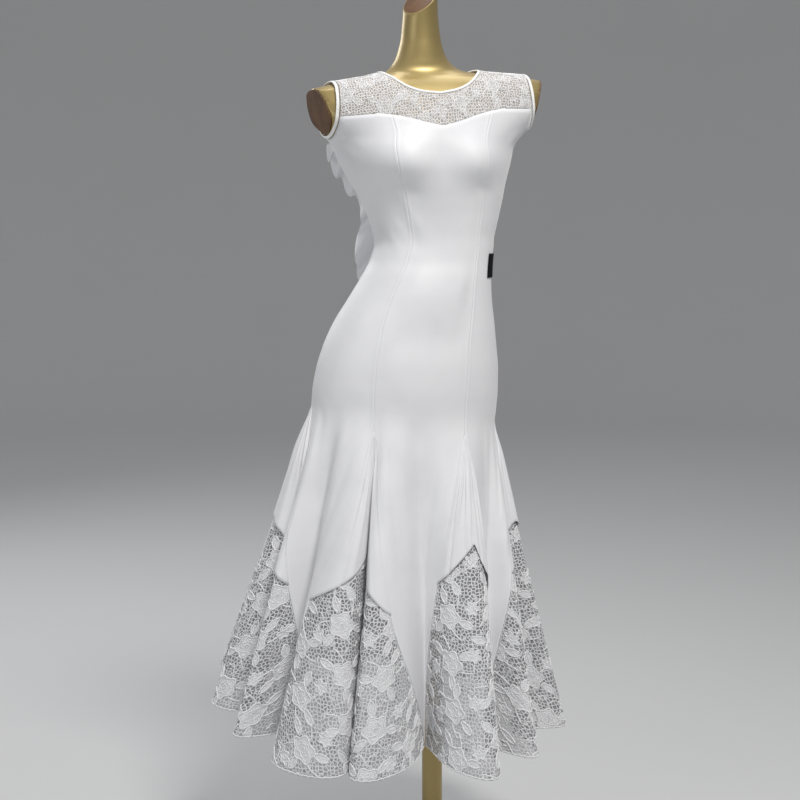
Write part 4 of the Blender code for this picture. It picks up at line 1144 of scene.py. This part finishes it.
def outNormals(w, t):
    # cross product of short steps down and along the skirt
    along, down = 0.02, 0.01
    t = np.broadcast_to(t, w.shape)
    side = cloth(w + along, t) - cloth(w - along, t)
    fallen = cloth(w, np.minimum(t + down, 1)) - cloth(w, np.maximum(t - down, 0))
    return unit(np.cross(fallen, side))


class Patch:
    # a godet's surface, read at any (u, v) in metres of cloth
    def __init__(self, name):
        self.t = np.linspace(godets[name]["opens"] + godetShape["start"], 1.0, godetShape["rows"])
        self.shares = np.linspace(0, 1, godetShape["columns"])
        self.w, self.grid, self.width = godetGrid(name, self.t, self.shares)
        self.out = outNormals(self.w, self.t[:, None])
        self.length = float(runLength(self.grid[:, godetShape["columns"] // 2])[-1])

    def uv(self):
        u = (self.shares - 0.5) * self.width[:, None]
        v = -(self.t - self.t[0]) / (self.t[-1] - self.t[0]) * self.length
        return np.stack([u, np.broadcast_to(v[:, None], u.shape)], axis=-1)

    def at(self, u, v):
        # bilinear reading of the grid; also says which places are on the cloth
        row = np.clip(-v / self.length, 0, 1) * (len(self.t) - 1)
        width = np.interp(row, np.arange(len(self.t)), self.width)
        share = u / width + 0.5
        edge = godetShape["edge"]
        held = (v <= 0) & (-v <= self.length) & (share > edge) & (share < 1 - edge)
        column = np.clip(share, 0, 1) * (len(self.shares) - 1)
        i = np.clip(row.astype(int), 0, len(self.t) - 2)
        j = np.clip(column.astype(int), 0, len(self.shares) - 2)
        a, b = (row - i)[..., None], (column - j)[..., None]

        def read(field):
            return ((field[i, j] * (1 - a) + field[i + 1, j] * a) * (1 - b)
                    + (field[i, j + 1] * (1 - a) + field[i + 1, j + 1] * a) * b)
        return read(self.grid), unit(read(self.out)), held


def polar(reach, angle):
    return reach * np.cos(angle), reach * np.sin(angle)


def spin(x, y, angle):
    c, s = math.cos(angle), math.sin(angle)
    return x * c - y * s, x * s + y * c


cordShape = {
    # the cords of each motif, in metres and radians; the shapes they follow are the lace pattern's own
    "leaf": {"half": 0.0015, "points": 9, "vein": 0.0007, "veinLong": 0.8, "veinWave": 0.0009,
             "ribs": (-0.35, 0.15), "ribLong": 0.28, "ribWide": 0.72, "rib": 0.0005},
    "stem": {"half": 0.0014, "points": 21, "gap": 0.002, "out": 0.024, "full": 0.6, "back": 0.004,
             "sweep": 0.55, "curl": 0.0072, "turns": 1.25},
    "fine": {"half": 0.0007, "points": 8, "gap": 0.003, "out": 0.019, "from": 0.30, "sweep": -0.5},
    # each ring's share of the rose's radius and of its petals, its turn, and its half width
    "rings": ((1.0, 1.0, 0.0, 0.0016), (0.80, 0.9, 0.0, 0.0008), (0.55, -0.7, 0.3, 0.0012)),
    "heart": {"half": 0.0008, "points": 18, "start": 0.0018, "grow": 0.0068, "turns": 1.6},
    "flower": 0.0014, "eye": 0.0034, "eyeHalf": 0.0009,
    "bud": {"half": 0.0008, "points": 11, "gap": 0.0026, "out": 0.011, "sweep": 0.5, "curl": 0.0022,
            "from": 0.7, "turn": 12},
}


def leafCurves(middle):
    # two arcs that meet in points, a mid vein and four side veins, in the direction of middle
    p, leaf = lacePattern, cordShape["leaf"]
    x = np.linspace(-1, 1, leaf["points"])
    wide = p["leafWide"] * (1 - x * x)
    edgeX = p["leafAt"] + p["leafLong"] * np.concatenate([x, x[-2::-1]])
    edgeY = np.concatenate([wide, -wide[-2::-1]])
    curves = [(*spin(edgeX, edgeY, middle), leaf["half"])]
    veinX, veinY = p["leafAt"] + p["leafLong"] * x * leaf["veinLong"], leaf["veinWave"] * np.sin(3 * x)
    curves.append((*spin(veinX, veinY, middle), leaf["vein"]))
    e = np.linspace(0, 1, 4)
    for place in leaf["ribs"]:
        for hand in (-1, 1):
            sideX = p["leafAt"] + p["leafLong"] * (place + leaf["ribLong"] * e)
            sideY = hand * p["leafWide"] * leaf["ribWide"] * e
            curves.append((*spin(sideX, sideY, middle), leaf["rib"]))
    return curves


def stemCurves(middle):
    # a scroll that leaves the rose between two leaves and curls over, and a finer stem beside it
    rose, stem, fine = lacePattern["rose"], cordShape["stem"], cordShape["fine"]
    start = middle + math.pi / 3
    e = np.linspace(0, 1, stem["points"])
    late = np.clip(e - 0.5, 0, 1) / 0.5
    reach = rose + stem["gap"] + stem["out"] * np.minimum(e / stem["full"], 1) - stem["back"] * e
    stemX, stemY = polar(reach, start + stem["sweep"] * e)
    curlX, curlY = polar(stem["curl"] * late * (stem["turns"] - e),
                         middle + 2 * math.pi * stem["turns"] * late)
    e = np.linspace(0, 1, fine["points"])
    beside = polar(rose + fine["gap"] + fine["out"] * e, start + fine["from"] + fine["sweep"] * e)
    return [(stemX + curlX, stemY + curlY, stem["half"]), (*beside, fine["half"])]


def roseCurves():
    # three wavy rings, a spiral heart, and three leaves and stems around
    p, heart = lacePattern, cordShape["heart"]
    angle = np.linspace(0, 2 * math.pi, 36)
    curves = []
    for share, wave, late, half in cordShape["rings"]:
        reach = p["rose"] * share + p["roseWave"] * wave * np.cos(5 * angle - late)
        curves.append((*polar(reach, angle), half))
    s = np.linspace(0, 1, heart["points"])
    spiral = polar(heart["start"] + heart["grow"] * s, 2 * math.pi * heart["turns"] * s)
    curves.append((*spiral, heart["half"]))
    for k in range(3):
        middle = 2 * math.pi / 3 * k + math.pi / 3
        curves += leafCurves(middle) + stemCurves(middle)
    return curves


def sprayCurves():
    # a six-petalled flower with a round eye and four stems that end in buds
    p, bud = lacePattern, cordShape["bud"]
    angle = np.linspace(0, 2 * math.pi, 37)
    petals = polar(p["spray"] + p["sprayWave"] * np.cos(6 * angle), angle)
    angle = np.linspace(0, 2 * math.pi, 13)
    eye = polar(cordShape["eye"] + 0 * angle, angle)
    curves = [(*petals, cordShape["flower"]), (*eye, cordShape["eyeHalf"])]
    e = np.linspace(0, 1, bud["points"])
    budX, budY = polar(bud["curl"] * np.clip(e - bud["from"], 0, 1) / (1 - bud["from"]), bud["turn"] * e)
    for k in range(4):
        x, y = polar(p["spray"] + bud["gap"] + bud["out"] * e, k * math.pi / 2 + bud["sweep"] * e)
        curves.append((x + budX, y + budY, bud["half"]))
    return curves


# the repeat's cords: how far each motif stands from a cell's middle, and its lines with their half widths
repeat = ((0.0, 0.0, roseCurves()), (0.5, 0.25, sprayCurves()))


def laceLines(reachU, low, high):
    # every cord of the repeat whose motif stands within reachU of the middle and between low and high
    p = lacePattern
    spread = int(reachU / p["pitchU"]) + 2
    firstRow, lastRow = math.floor(low / p["pitchV"]) - 2, math.ceil(high / p["pitchV"]) + 2
    lines = []
    for shiftU, shiftV, curves in repeat:
        for i in range(-spread, spread + 1):
            for j in range(firstRow, lastRow + 1):
                u = (i + 0.5 - shiftU) * p["pitchU"]
                v = (j + 0.5 - shiftV - 0.5 * (i % 2)) * p["pitchV"]
                for x, y, half in curves:
                    du, dv = spin(x, y, i * p["turnU"] + j * p["turnV"])
                    lines.append((u + du, v + dv, half))
    return lines


def cordMesh(name, lines, read, lift, finish):
    # each line becomes a low three-sided cord: two edges on the cloth and a ridge above it
    u = np.concatenate([line[0] for line in lines])
    v = np.concatenate([line[1] for line in lines])
    number = np.concatenate([np.full(len(line[0]), k) for k, line in enumerate(lines)])
    half = np.concatenate([np.full(len(line[0]), line[2]) for line in lines])[:, None]
    place, out, held = read(u, v)
    # runs of neighbouring points that lie on the cloth, each at least four points long
    fresh = np.concatenate([[True], (number[1:] != number[:-1]) | (held[1:] != held[:-1])])
    run = np.cumsum(fresh) - 1
    keep = held & (np.bincount(run)[run] >= 4)
    place, out, half, run = place[keep], out[keep], half[keep], run[keep]
    k = np.arange(len(run))
    joined = run[1:] == run[:-1]
    after = np.where(np.append(joined, False), k + 1, k)
    before = np.where(np.insert(joined, 0, False), k - 1, k)
    ahead = unit(place[after] - place[before])
    sideways = unit(np.cross(out, ahead)) * half
    base = place + out * lift
    points = np.stack([base - sideways, base + out * half * 1.1, base + sideways], axis=1).reshape(-1, 3)
    start = k[:-1][joined] * 3
    sides = np.array([[0, 3, 4, 1], [1, 4, 5, 2], [2, 5, 3, 0]])
    made = makePiece(name, points, (sides + start[:, None, None]).reshape(-1, 4), finish)
    # a triangle closes each end of a run
    first, last = k[before == k] * 3, k[after == k] * 3
    closeEnds(made, np.stack([first, first + 1, first + 2], axis=-1),
              np.stack([last, last + 2, last + 1], axis=-1))
    return made


def closeEnds(made, *ends):
    # triangles added after the mesh's four-sided faces
    mesh = made.data
    corners = np.concatenate(ends).astype(np.int32)
    loopCount, faceCount = len(mesh.loops), len(mesh.polygons)
    mesh.loops.add(corners.size)
    mesh.polygons.add(len(corners))
    vertices = np.zeros(loopCount + corners.size, dtype=np.int32)
    mesh.loops.foreach_get("vertex_index", vertices)
    vertices[loopCount:] = corners.ravel()
    mesh.loops.foreach_set("vertex_index", vertices)
    starts = np.concatenate([np.arange(faceCount) * 4, loopCount + np.arange(len(corners)) * 3])
    mesh.polygons.foreach_set("loop_start", starts.astype(np.int32))
    mesh.update(calc_edges=True)
    mesh.shade_smooth()


def hemCord(patch):
    # a fine corded edge along the lowest row, its small scallops the size of a sine
    g = godetShape
    u = (np.linspace(0.006, 0.994, g["hemPoints"]) - 0.5) * patch.width[-1]
    v = -patch.length + g["hemUp"] + g["scallop"] * np.abs(np.sin(u * math.pi / g["scallopLong"]))
    return u, v, g["hemHalf"]


def sideCords(patch):
    g = godetShape
    rowsAt = np.linspace(0.02, 0.995, g["sidePoints"])
    width = np.interp(rowsAt * (len(patch.t) - 1), np.arange(len(patch.t)), patch.width)
    return [(side * (width / 2 - g["sideIn"]), -rowsAt * patch.length, g["sideHalf"]) for side in (-1, 1)]


def makeGodet(name, patch):
    g = godetShape
    grid = patch.grid
    made = makePiece("godet_" + name + "_lace", grid, gridFaces(*grid.shape[:2]), lace, uv=patch.uv(),
                     solid=g["wall"])
    faceOut(made, patch.out[40, 40], 40 * g["columns"] + 40)
    placePiece(made, "white_lace", "godet_lace_" + name)
    lines = laceLines(patch.width.max() / 2, -patch.length, 0.0)
    lines += [hemCord(patch)] + sideCords(patch)
    threads = cordMesh("godet_" + name + "_cords", lines, patch.at, g["wall"], cord)
    placePiece(threads, "white_lace")
    cutSheet(made, grid, [panel + "_jersey" for panel in skirt["beside"][name]])


overlayShape = {
    "rows": 42, "columns": 84, "crowd": 0.4, "wall": 0.0009,
    "tuck": 0.016,                 # how much of the fall it is tucked up behind the opening
    "over": 0.03,                  # how far each side passes the godet's own, in folds
    "straight": 0.82,              # the rest of the foot's line is curved
    "under": -0.0013, "rise": 0.0021,
    "sideLift": 0.12, "sideWide": 0.13,
    "emerge": (-0.006, 0.02),      # it comes out over the lace in this stretch of the fall
    "stand": (0.02, 0.45), "sink": 0.35,   # where it comes to stand off the lace, and how far back it sinks
    "pleatSide": 0.12,
    "hem": 0.0009, "hemAt": 0.0022, "hemWide": 0.0018,
    # gathers from the opening down, as the panels' creases are given
    "pleats": ((0.13, 0.18, 0.02, 2.0, 0.020, -0.0022), (0.27, 0.24, 0.05, 2.0, 0.028, 0.0020),
               (0.41, 0.45, 0.0, 2.0, 0.022, -0.0024), (0.56, 0.53, 0.0, 2.0, 0.030, 0.0018),
               (0.71, 0.74, 0.08, 2.0, 0.024, -0.0018), (0.87, 0.84, 0.03, 2.0, 0.022, 0.0016)),
}


def overlayFoot(name, shares):
    # low at both seams, high between: mostly straight lines, with a share of a smooth step
    tips, straightShare = godets[name], overlayShape["straight"]
    first, peak, last, at = (tips[key] for key in ("firstTip", "peak", "lastTip", "peakAt"))
    left = first + (peak - first) * ease(0, 1, shares / at)**0.9
    right = last + (peak - last) * ease(0, 1, (1 - shares) / (1 - at))**0.9
    straight = np.interp(shares, (0, at, 1), (first, peak, last))
    return straightShare * straight + (1 - straightShare) * np.where(shares < at, left, right)


def makeOverlay(name, patch):
    o, opens, off = overlayShape, godets[name]["opens"], godets[name]["off"]
    shares = edgeShares(o["columns"], o["crowd"])
    feet = overlayFoot(name, shares)
    v = np.linspace(0, 1, o["rows"])
    start = opens - o["tuck"]
    t = start + (feet - start) * v[:, None]
    left, right = godetEdges(godets[name]["seam"], t)
    w = left + (right - left) * shares + o["over"] * (shares - 0.5)
    grid = cloth(w, t)
    out = outNormals(w, t)
    # off the lace: a little below it at the top, most in the middle, with pleats and a rolled hem
    side = np.minimum(shares, 1 - shares)
    rise = o["under"] + o["rise"] * ease(*o["emerge"], t - opens)
    fuller = o["sideLift"] + (1 - o["sideLift"]) * ease(0, o["sideWide"], side)
    rise = rise + off * (ease(*o["stand"], v) * (1 - o["sink"] * v**4))[:, None] * fuller
    rise = rise + creaseRelief(o["pleats"], shares, v) * ease(0, o["pleatSide"], side)
    fromFoot = (1 - v[:, None]) * (feet - opens) * patch.length
    rise = rise + o["hem"] * np.exp(-((fromFoot - o["hemAt"]) / o["hemWide"])**2)
    grid = grid + out * rise[..., None]
    made = makePiece("overlay_" + name + "_jersey", grid, gridFaces(*grid.shape[:2]), jersey,
                     uv=clothUv(grid), solid=o["wall"])
    faceOut(made, out[20, 20], 20 * len(shares) + 20)
    placePiece(made, "white_jersey", "overlay_" + name)
    cutSheet(made, grid, ["godet_" + name + "_lace"])


for name in godets:
    patch = Patch(name)
    makeGodet(name, patch)
    makeOverlay(name, patch)
print("godets and overlays made")


# ---- lace yokes, bindings, back flounces and the label

yokeShape = {
    # the neck edge from its middle to the shoulder: turn up the chest or back, and place across
    "neckFront": (("share", "turn", "across"), (0.0, 31, 0.0), (0.2, 34, 0.027), (0.4, 41, 0.051),
                  (0.6, 53, 0.070), (0.8, 71, 0.084), (1.0, 90, 0.089)),
    "neckBack": (("share", "turn", "across"), (0.0, 143, 0.0), (0.25, 141, 0.032), (0.5, 134, 0.058),
                 (0.75, 116, 0.080), (1.0, 90, 0.089)),
    # the angle of each yoke's corner at the armhole, and of its middle
    "corners": {"front": (50.0, 0.0), "back": (112.0, 180.0)},
    "edgeSteps": 40, "armSteps": 44, "rows": {"front": 44, "back": 60}, "wall": 0.0005,
    "edgeGap": 0.0002,
    "shoulder": 0.12,        # half the gap at the shoulder's ridge, degrees
    "perRadian": 0.075,      # cloth over the shoulder to a radian of turn, metres
    "patternScale": 1.35, "cordScale": 0.62,
}


def armEdge(turns, side):
    # across the body to the armhole at each turn, by repeated substitution
    across = np.full(turns.shape, armholes["hole"]["across"]) * side
    for _ in range(8):
        point = saddle(across, turns)
        across = side * planeAcross(armholes["hole"], point[..., 1], point[..., 2], armholes["clothEdge"])
    return across


def saddlePlace(points):
    # the inverse of saddle()
    across = points[..., 0] - ring("cx", torso["axisZ"])
    turn = np.degrees(np.arctan2(points[..., 2] - torso["axisZ"], torso["axisY"] - points[..., 1]))
    return across, np.where(turn < -90, turn + 360, turn)


def yokeHalf(table, corner, centre, side):
    # the lower edge along the jersey and up the armhole, and the neck edge above it, at the same shares
    y = yokeShape
    angles = np.linspace(centre, corner, y["edgeSteps"] + 1)
    edge = body(side * angles, topEdge(side * angles) + y["edgeGap"])
    across, turn = saddlePlace(edge)
    ridge = 90 - y["shoulder"] if centre == 0 else 90 + y["shoulder"]
    turns = np.linspace(turn[-1], ridge, y["armSteps"] + 1)[1:]
    lowAcross, lowTurn = np.concatenate([across, armEdge(turns, side)]), np.concatenate([turn, turns])
    low = saddle(lowAcross, lowTurn)
    along = runLength(low)
    shareAt = 0.5 * np.linspace(0, 1, len(along)) + 0.5 * along / along[-1]
    share, neckTurn, neckAcross = rows(table, "share", "turn", "across")
    highTurn = smooth(share, neckTurn, shareAt)
    highAcross = side * smooth(share, neckAcross, shareAt)
    highTurn[-1] = ridge
    return np.stack([lowAcross, lowTurn], -1), np.stack([highAcross, highTurn], -1)


class YokePatch:
    # a yoke's surface on the body, from neck to jersey in even steps, read at any place of the pattern
    def __init__(self, hand):
        table = yokeShape["neckFront" if hand == "front" else "neckBack"]
        lowLeft, highLeft = yokeHalf(table, *yokeShape["corners"][hand], 1)
        lowRight, highRight = yokeHalf(table, *yokeShape["corners"][hand], -1)
        low = np.concatenate([lowRight[::-1], lowLeft[1:]])
        high = np.concatenate([highRight[::-1], highLeft[1:]])
        share = np.linspace(0, 1, yokeShape["rows"][hand])[:, None, None]
        place = high + (low - high) * share
        point = saddle(place[..., 0], place[..., 1])
        self.out = outward(point)
        self.grid = point + self.out * torso["clear"]
        # flat places for the pattern: across the body, and up over the shoulder
        v = np.radians(place[..., 1]) * yokeShape["perRadian"]
        self.places = np.stack([place[..., 0], v], axis=-1) * yokeShape["patternScale"]

    def at(self, u, v):
        turn = np.degrees(v / yokeShape["patternScale"] / yokeShape["perRadian"])
        point = saddle(u / yokeShape["patternScale"], turn)
        out = outward(point)
        return point + out * torso["clear"], out, self.holds(u, v)

    def holds(self, u, v):
        # inside the outline of the patch: crossings of a ray counted
        flat = self.places
        rim = np.concatenate([flat[0], flat[1:, -1], flat[-1, -2::-1], flat[-2:0:-1, 0]])
        nextRim = np.roll(rim, -1, axis=0)
        u, v = np.atleast_1d(u)[:, None], np.atleast_1d(v)[:, None]
        spans = (rim[:, 1] > v) != (nextRim[:, 1] > v)
        height = np.where(nextRim[:, 1] == rim[:, 1], 1.0, nextRim[:, 1] - rim[:, 1])
        crossing = rim[:, 0] + (v - rim[:, 1]) / height * (nextRim[:, 0] - rim[:, 0])
        return ((spans & (u < crossing)).sum(axis=1) % 2) == 1


def makeYoke(hand):
    patch = YokePatch(hand)
    grid = patch.grid
    made = makePiece("yoke_" + hand + "_lace", grid, gridFaces(*grid.shape[:2]), yokeLace, uv=patch.places,
                     solid=yokeShape["wall"])
    middle = grid.shape[1] // 2
    faceOut(made, patch.out[8, middle], 8 * grid.shape[1] + middle)
    placePiece(made, "white_lace", "yoke_" + hand)
    low, high = patch.places[..., 1].min(), patch.places[..., 1].max()
    lines = laceLines(np.abs(patch.places[..., 0]).max(), low, high)
    lines = [(u, v, half * yokeShape["cordScale"]) for u, v, half in lines]
    threads = cordMesh("yoke_" + hand + "_cords", lines, patch.at, yokeShape["wall"], cord)
    placePiece(threads, "white_lace")
    cutSheet(made, grid, ["form_body"])


makeYoke("front")
makeYoke("back")

bindingShape = {
    "width": 0.005, "wall": 0.0018, "cut": 0.013, "gap": 0.0003, "neckGap": 0.0004,
    "neckSteps": 56, "armSteps": 180,
    # the folded strip's section: share across, share of its height, and the flat cloth's place there
    "section": ((0.0, 0.0, 0.0), (0.0, 0.6, -0.001), (0.12, 1.0, -0.0015), (0.5, 1.12, -0.003),
                (0.88, 1.0, -0.0045), (1.0, 0.6, -0.005), (1.0, 0.0, -0.006), (0.5, 0.0, -0.0085)),
    "outer": 6,              # how many of the section's points lie on its outer side
    "ease": 1.02,            # the strip is cut this much longer than the edge
}


def makeBinding(name, near, far, node):
    # a soft folded edge: a flat oval carried round two loops on the body
    b = bindingShape
    out = outward((near + far) / 2)
    grid = np.array([near + (far - near) * across + out * (torso["clear"] + b["wall"] * high)
                     for across, high, _ in b["section"]])
    along = runLength(near)
    flat = np.array([place for _, _, place in b["section"]])
    uv = np.stack(np.broadcast_arrays(along[None, :], flat[:, None]), axis=-1)
    count = len(near)
    n, lastRow = np.arange(count), (len(grid) - 1) * count
    closing = np.stack([lastRow + n, n, (n + 1) % count, lastRow + (n + 1) % count], axis=-1)
    faces = np.concatenate([gridFaces(len(grid), count, closed=True), closing])
    made = makePiece(name, grid, faces, binding, uv=uv)
    turnOut(made)
    placePiece(made, "white_binding", node)
    strip = grid[:b["outer"]]
    area = round(clothArea(leanShoulders(np.concatenate([strip, strip[:, :1]], axis=1))), 5)


def makeNeckBinding():
    # round the front's half, back along the back's, and over to the other side
    shares = np.linspace(0, 1, bindingShape["neckSteps"])
    halves = []
    for table in (yokeShape["neckFront"], yokeShape["neckBack"]):
        share, turn, across = rows(table, "share", "turn", "across")
        halves.append((smooth(share, across, shares), smooth(share, turn, shares)))
    (frontAcross, frontTurn), (backAcross, backTurn) = halves
    across = np.concatenate([frontAcross, backAcross[-2::-1], -backAcross[1:], -frontAcross[-2:0:-1]])
    turn = np.concatenate([frontTurn, backTurn[-2::-1], backTurn[1:], frontTurn[-2:0:-1]])
    edge = saddle(across, turn)
    out = outward(edge)
    inward = unit(np.cross(out, np.roll(edge, -1, axis=0) - np.roll(edge, 1, axis=0)))
    inward *= np.sign(np.sum(inward * (edge.mean(axis=0) - edge), axis=-1, keepdims=True))
    near = settle(edge + inward * bindingShape["neckGap"])
    far = settle(edge + inward * bindingShape["width"])
    makeBinding("neckline_binding", near, far, "binding_neck")


makeNeckBinding()
for hand, side in (("left", 1), ("right", -1)):
    gap, steps = bindingShape["gap"], bindingShape["armSteps"]
    near = armLoop(armholes["hole"], side, gap, steps)
    far = armLoop(armholes["hole"], side, gap + bindingShape["width"], steps)
    makeBinding("armhole_binding_" + hand, near, far, "binding_armhole_" + hand)

flounceShape = {
    # where the seam runs on the back edge, and how far the free edge lies from it there
    "rows": (("angle", "dx", "dy", "dz"), (114, 0.003, 0.012, -0.008), (118, 0.008, 0.026, -0.020),
             (124, 0.010, 0.032, -0.030), (132, 0.012, 0.036, -0.036), (140, 0.014, 0.038, -0.040),
             (149, 0.020, 0.036, -0.044), (158, 0.050, 0.030, -0.062), (166, 0.082, 0.022, -0.100),
             (174, 0.092, 0.016, -0.128)),
    "seam": 0.003, "lift": 0.0012, "wall": 0.0008, "steps": 190, "across": 20,
    "waves": 5.5, "swing": 0.011,
    "ripples": 2.3, "ripple": 0.0006, "late": 0.8,   # smaller ones on each wave
    "lobe": 0.006, "lobeMean": 0.7, "lobeRound": 0.6,   # the free edge's scallops
    "waveGrows": 1.3, "lobeGrows": 3,      # powers of the share from seam to free edge
    "hem": 0.0006, "hemAt": 0.002, "hemWide": 0.0015, "long": 0.04,
}


def makeFlounce(hand, side):
    # straight reaches from the back edge, swung in and out by a wave that grows toward the free edge
    f = flounceShape
    s = np.linspace(0, 1, f["steps"])
    angleRow, dx, dy, dz = rows(f["rows"], "angle", "dx", "dy", "dz")
    places = np.linspace(0, 1, len(angleRow))
    angle = smooth(places, angleRow, s)
    root = body(side * angle, topEdge(angle) - f["seam"])
    root = root + outward(root) * (torso["clear"] + panelShape["wall"] + f["lift"])
    reach = np.stack([smooth(places, column, s) for column in (dx, dy, dz)], axis=-1) * np.array([side, 1, 1])
    out = unit(np.cross(np.gradient(root, axis=0), reach))
    wave = f["swing"] * np.sin(2 * math.pi * f["waves"] * s)
    wave = wave + f["ripple"] * np.sin(2 * math.pi * f["waves"] * f["ripples"] * s + f["late"])
    lobe = f["lobe"] * (np.abs(np.sin(math.pi * f["waves"] * s))**f["lobeRound"] - f["lobeMean"])
    share = np.linspace(0, 1, f["across"])[:, None, None]
    rim = f["hem"] * np.exp(-(((1 - share) * f["long"] - f["hemAt"]) / f["hemWide"])**2)
    grid = root + reach * share + out * (wave[:, None] * share**f["waveGrows"] + rim)
    grid = grid + unit(reach) * share**f["lobeGrows"] * lobe[:, None]
    made = makePiece("flounce_" + hand, grid, gridFaces(*grid.shape[:2]), jersey, uv=clothUv(grid),
                     solid=f["wall"])
    placePiece(made, "white_jersey", "flounce_back_" + hand)
    cutSheet(made, grid, ["panel_centre_back_jersey", "panel_side_back_" + hand + "_jersey"])


for hand, side in (("left", 1), ("right", -1)):
    makeFlounce(hand, side)

labelShape = {
    "from": 55.0, "to": 88.0, "low": 1.083, "high": 1.124,   # its place on the body, degrees and metres
    "wide": 0.05, "wall": 0.0007, "rows": 30, "columns": 48,
    "lift": 0.0007, "crown": 0.0006, "fold": 0.0018,         # off the jersey at its edge, more inside it
}


def makeLabel():
    # a plain black woven tab, its edges folded under, held at the side seam
    tab = labelShape
    angle, level = np.meshgrid(np.linspace(tab["from"], tab["to"], tab["columns"]),
                               np.linspace(tab["high"], tab["low"], tab["rows"]))
    point = body(angle, level)
    out = outward(point)
    x = np.linspace(0, 1, tab["columns"])[None, :]
    y = np.linspace(0, 1, tab["rows"])[:, None]
    tall = tab["high"] - tab["low"]
    edge = np.minimum(np.minimum(x, 1 - x) * tab["wide"], np.minimum(y, 1 - y) * tall)
    lift = torso["clear"] + panelShape["wall"] + tab["lift"] + tab["crown"] * ease(0, tab["fold"], edge)
    grid = point + out * lift[..., None]
    made = makePiece("waist_label", grid, gridFaces(*grid.shape[:2]), black, uv=clothUv(grid),
                     solid=tab["wall"])
    faceOut(made, out[10, 10], 10 * tab["columns"] + 10)
    placePiece(made, "black_label", "label_waist")
    cutSheet(made, grid, ["panel_side_front_left_jersey"])


makeLabel()
print("yokes, bindings, flounces and label made")


# ---- floor, light and camera

room = {
    "floor": (0.64, 0.64, 0.64), "world": (0.82, 0.83, 0.85), "worldStrength": 0.46,
    "flat": 6.0, "sweep": 2.4, "wallTop": 4.6, "rings": 14, "around": 96,
    # name, place, aim, size, watts, colour
    "lamps": (
        ("key", (0.3, -1.9, 3.5), (-0.05, 0.0, 1.0), 0.8, 66.0, (1.0, 0.99, 0.97)),
        ("fill", (-2.6, -1.6, 1.5), (0.0, 0.0, 0.8), 1.6, 10.0, (0.96, 0.98, 1.0)),
        ("top", (0.2, 0.6, 3.2), (-0.05, 0.0, 1.2), 1.2, 14.0, (1.0, 1.0, 1.0)),
        ("back", (-1.4, 2.8, 2.4), (0.0, 0.0, 0.9), 1.6, 26.0, (0.97, 0.98, 1.0)),
    ),
}


def makeFloor():
    # a round floor that sweeps up into a wall, so that no edge shows behind the object
    bend = np.linspace(0, math.pi / 2, room["rings"])
    reach = np.concatenate([[0.5 * room["flat"]], room["flat"] + room["sweep"] * np.sin(bend),
                            [room["flat"] + room["sweep"]]])
    level = np.concatenate([[0.0], room["sweep"] * (1 - np.cos(bend)), [room["wallTop"]]])
    n = room["around"]
    turn = 2 * math.pi * np.arange(n) / n
    points = np.stack([np.outer(reach, np.cos(turn)), np.outer(reach, np.sin(turn)),
                       np.outer(level, np.ones(n))], axis=-1).reshape(-1, 3)
    faces = gridFaces(len(reach), n, closed=True).tolist() + [list(range(n))]
    floor = bpy.data.meshes.new("studio_floor")
    floor.from_pydata(points.tolist(), [], faces)
    floor.shade_smooth()
    paint = Nodes("pale studio floor", roughness=0.8)
    cloud = paint.noise(paint.place(), 1.5, 3.0)
    colour = paint.blend(cloud, room["floor"], darker(room["floor"], 0.97))
    floor.materials.append(paint.give(Base_Color=colour))
    addObject("studio_floor", floor)


def makeLight():
    # a pale world and soft round lamps, the key lamp above and before the object
    world = bpy.data.worlds.new("studio")
    world.use_nodes = True
    world.node_tree.nodes["Background"].inputs[0].default_value = (*room["world"], 1.0)
    world.node_tree.nodes["Background"].inputs[1].default_value = room["worldStrength"]
    bpy.context.scene.world = world
    bpy.context.scene.view_settings.view_transform = "Standard"
    for name, place, aim, size, power, tint in room["lamps"]:
        lamp = bpy.data.lights.new(name, "AREA")
        lamp.shape, lamp.size, lamp.energy, lamp.color = "DISK", size, power, tint
        stand = addObject(name, lamp)
        stand.location = place
        stand.rotation_euler = (Vector(aim) - Vector(place)).to_track_quat("-Z", "Y").to_euler()


lens = {"place": (-0.7029, -2.4512, 1.18), "turn": -16.0, "pitch": -6.944, "focal": 66.34, "shift": -0.04}


def makeCamera():
    data = bpy.data.cameras.new("camera")
    data.sensor_fit, data.sensor_width, data.lens = "HORIZONTAL", 36.0, lens["focal"]
    data.shift_x = lens["shift"]
    made = addObject("camera", data)
    made.location = lens["place"]
    made.rotation_euler = (math.radians(90 + lens["pitch"]), 0.0, math.radians(lens["turn"]))
    bpy.context.scene.camera = made


makeFloor()
makeLight()
makeCamera()
print("room and camera made")
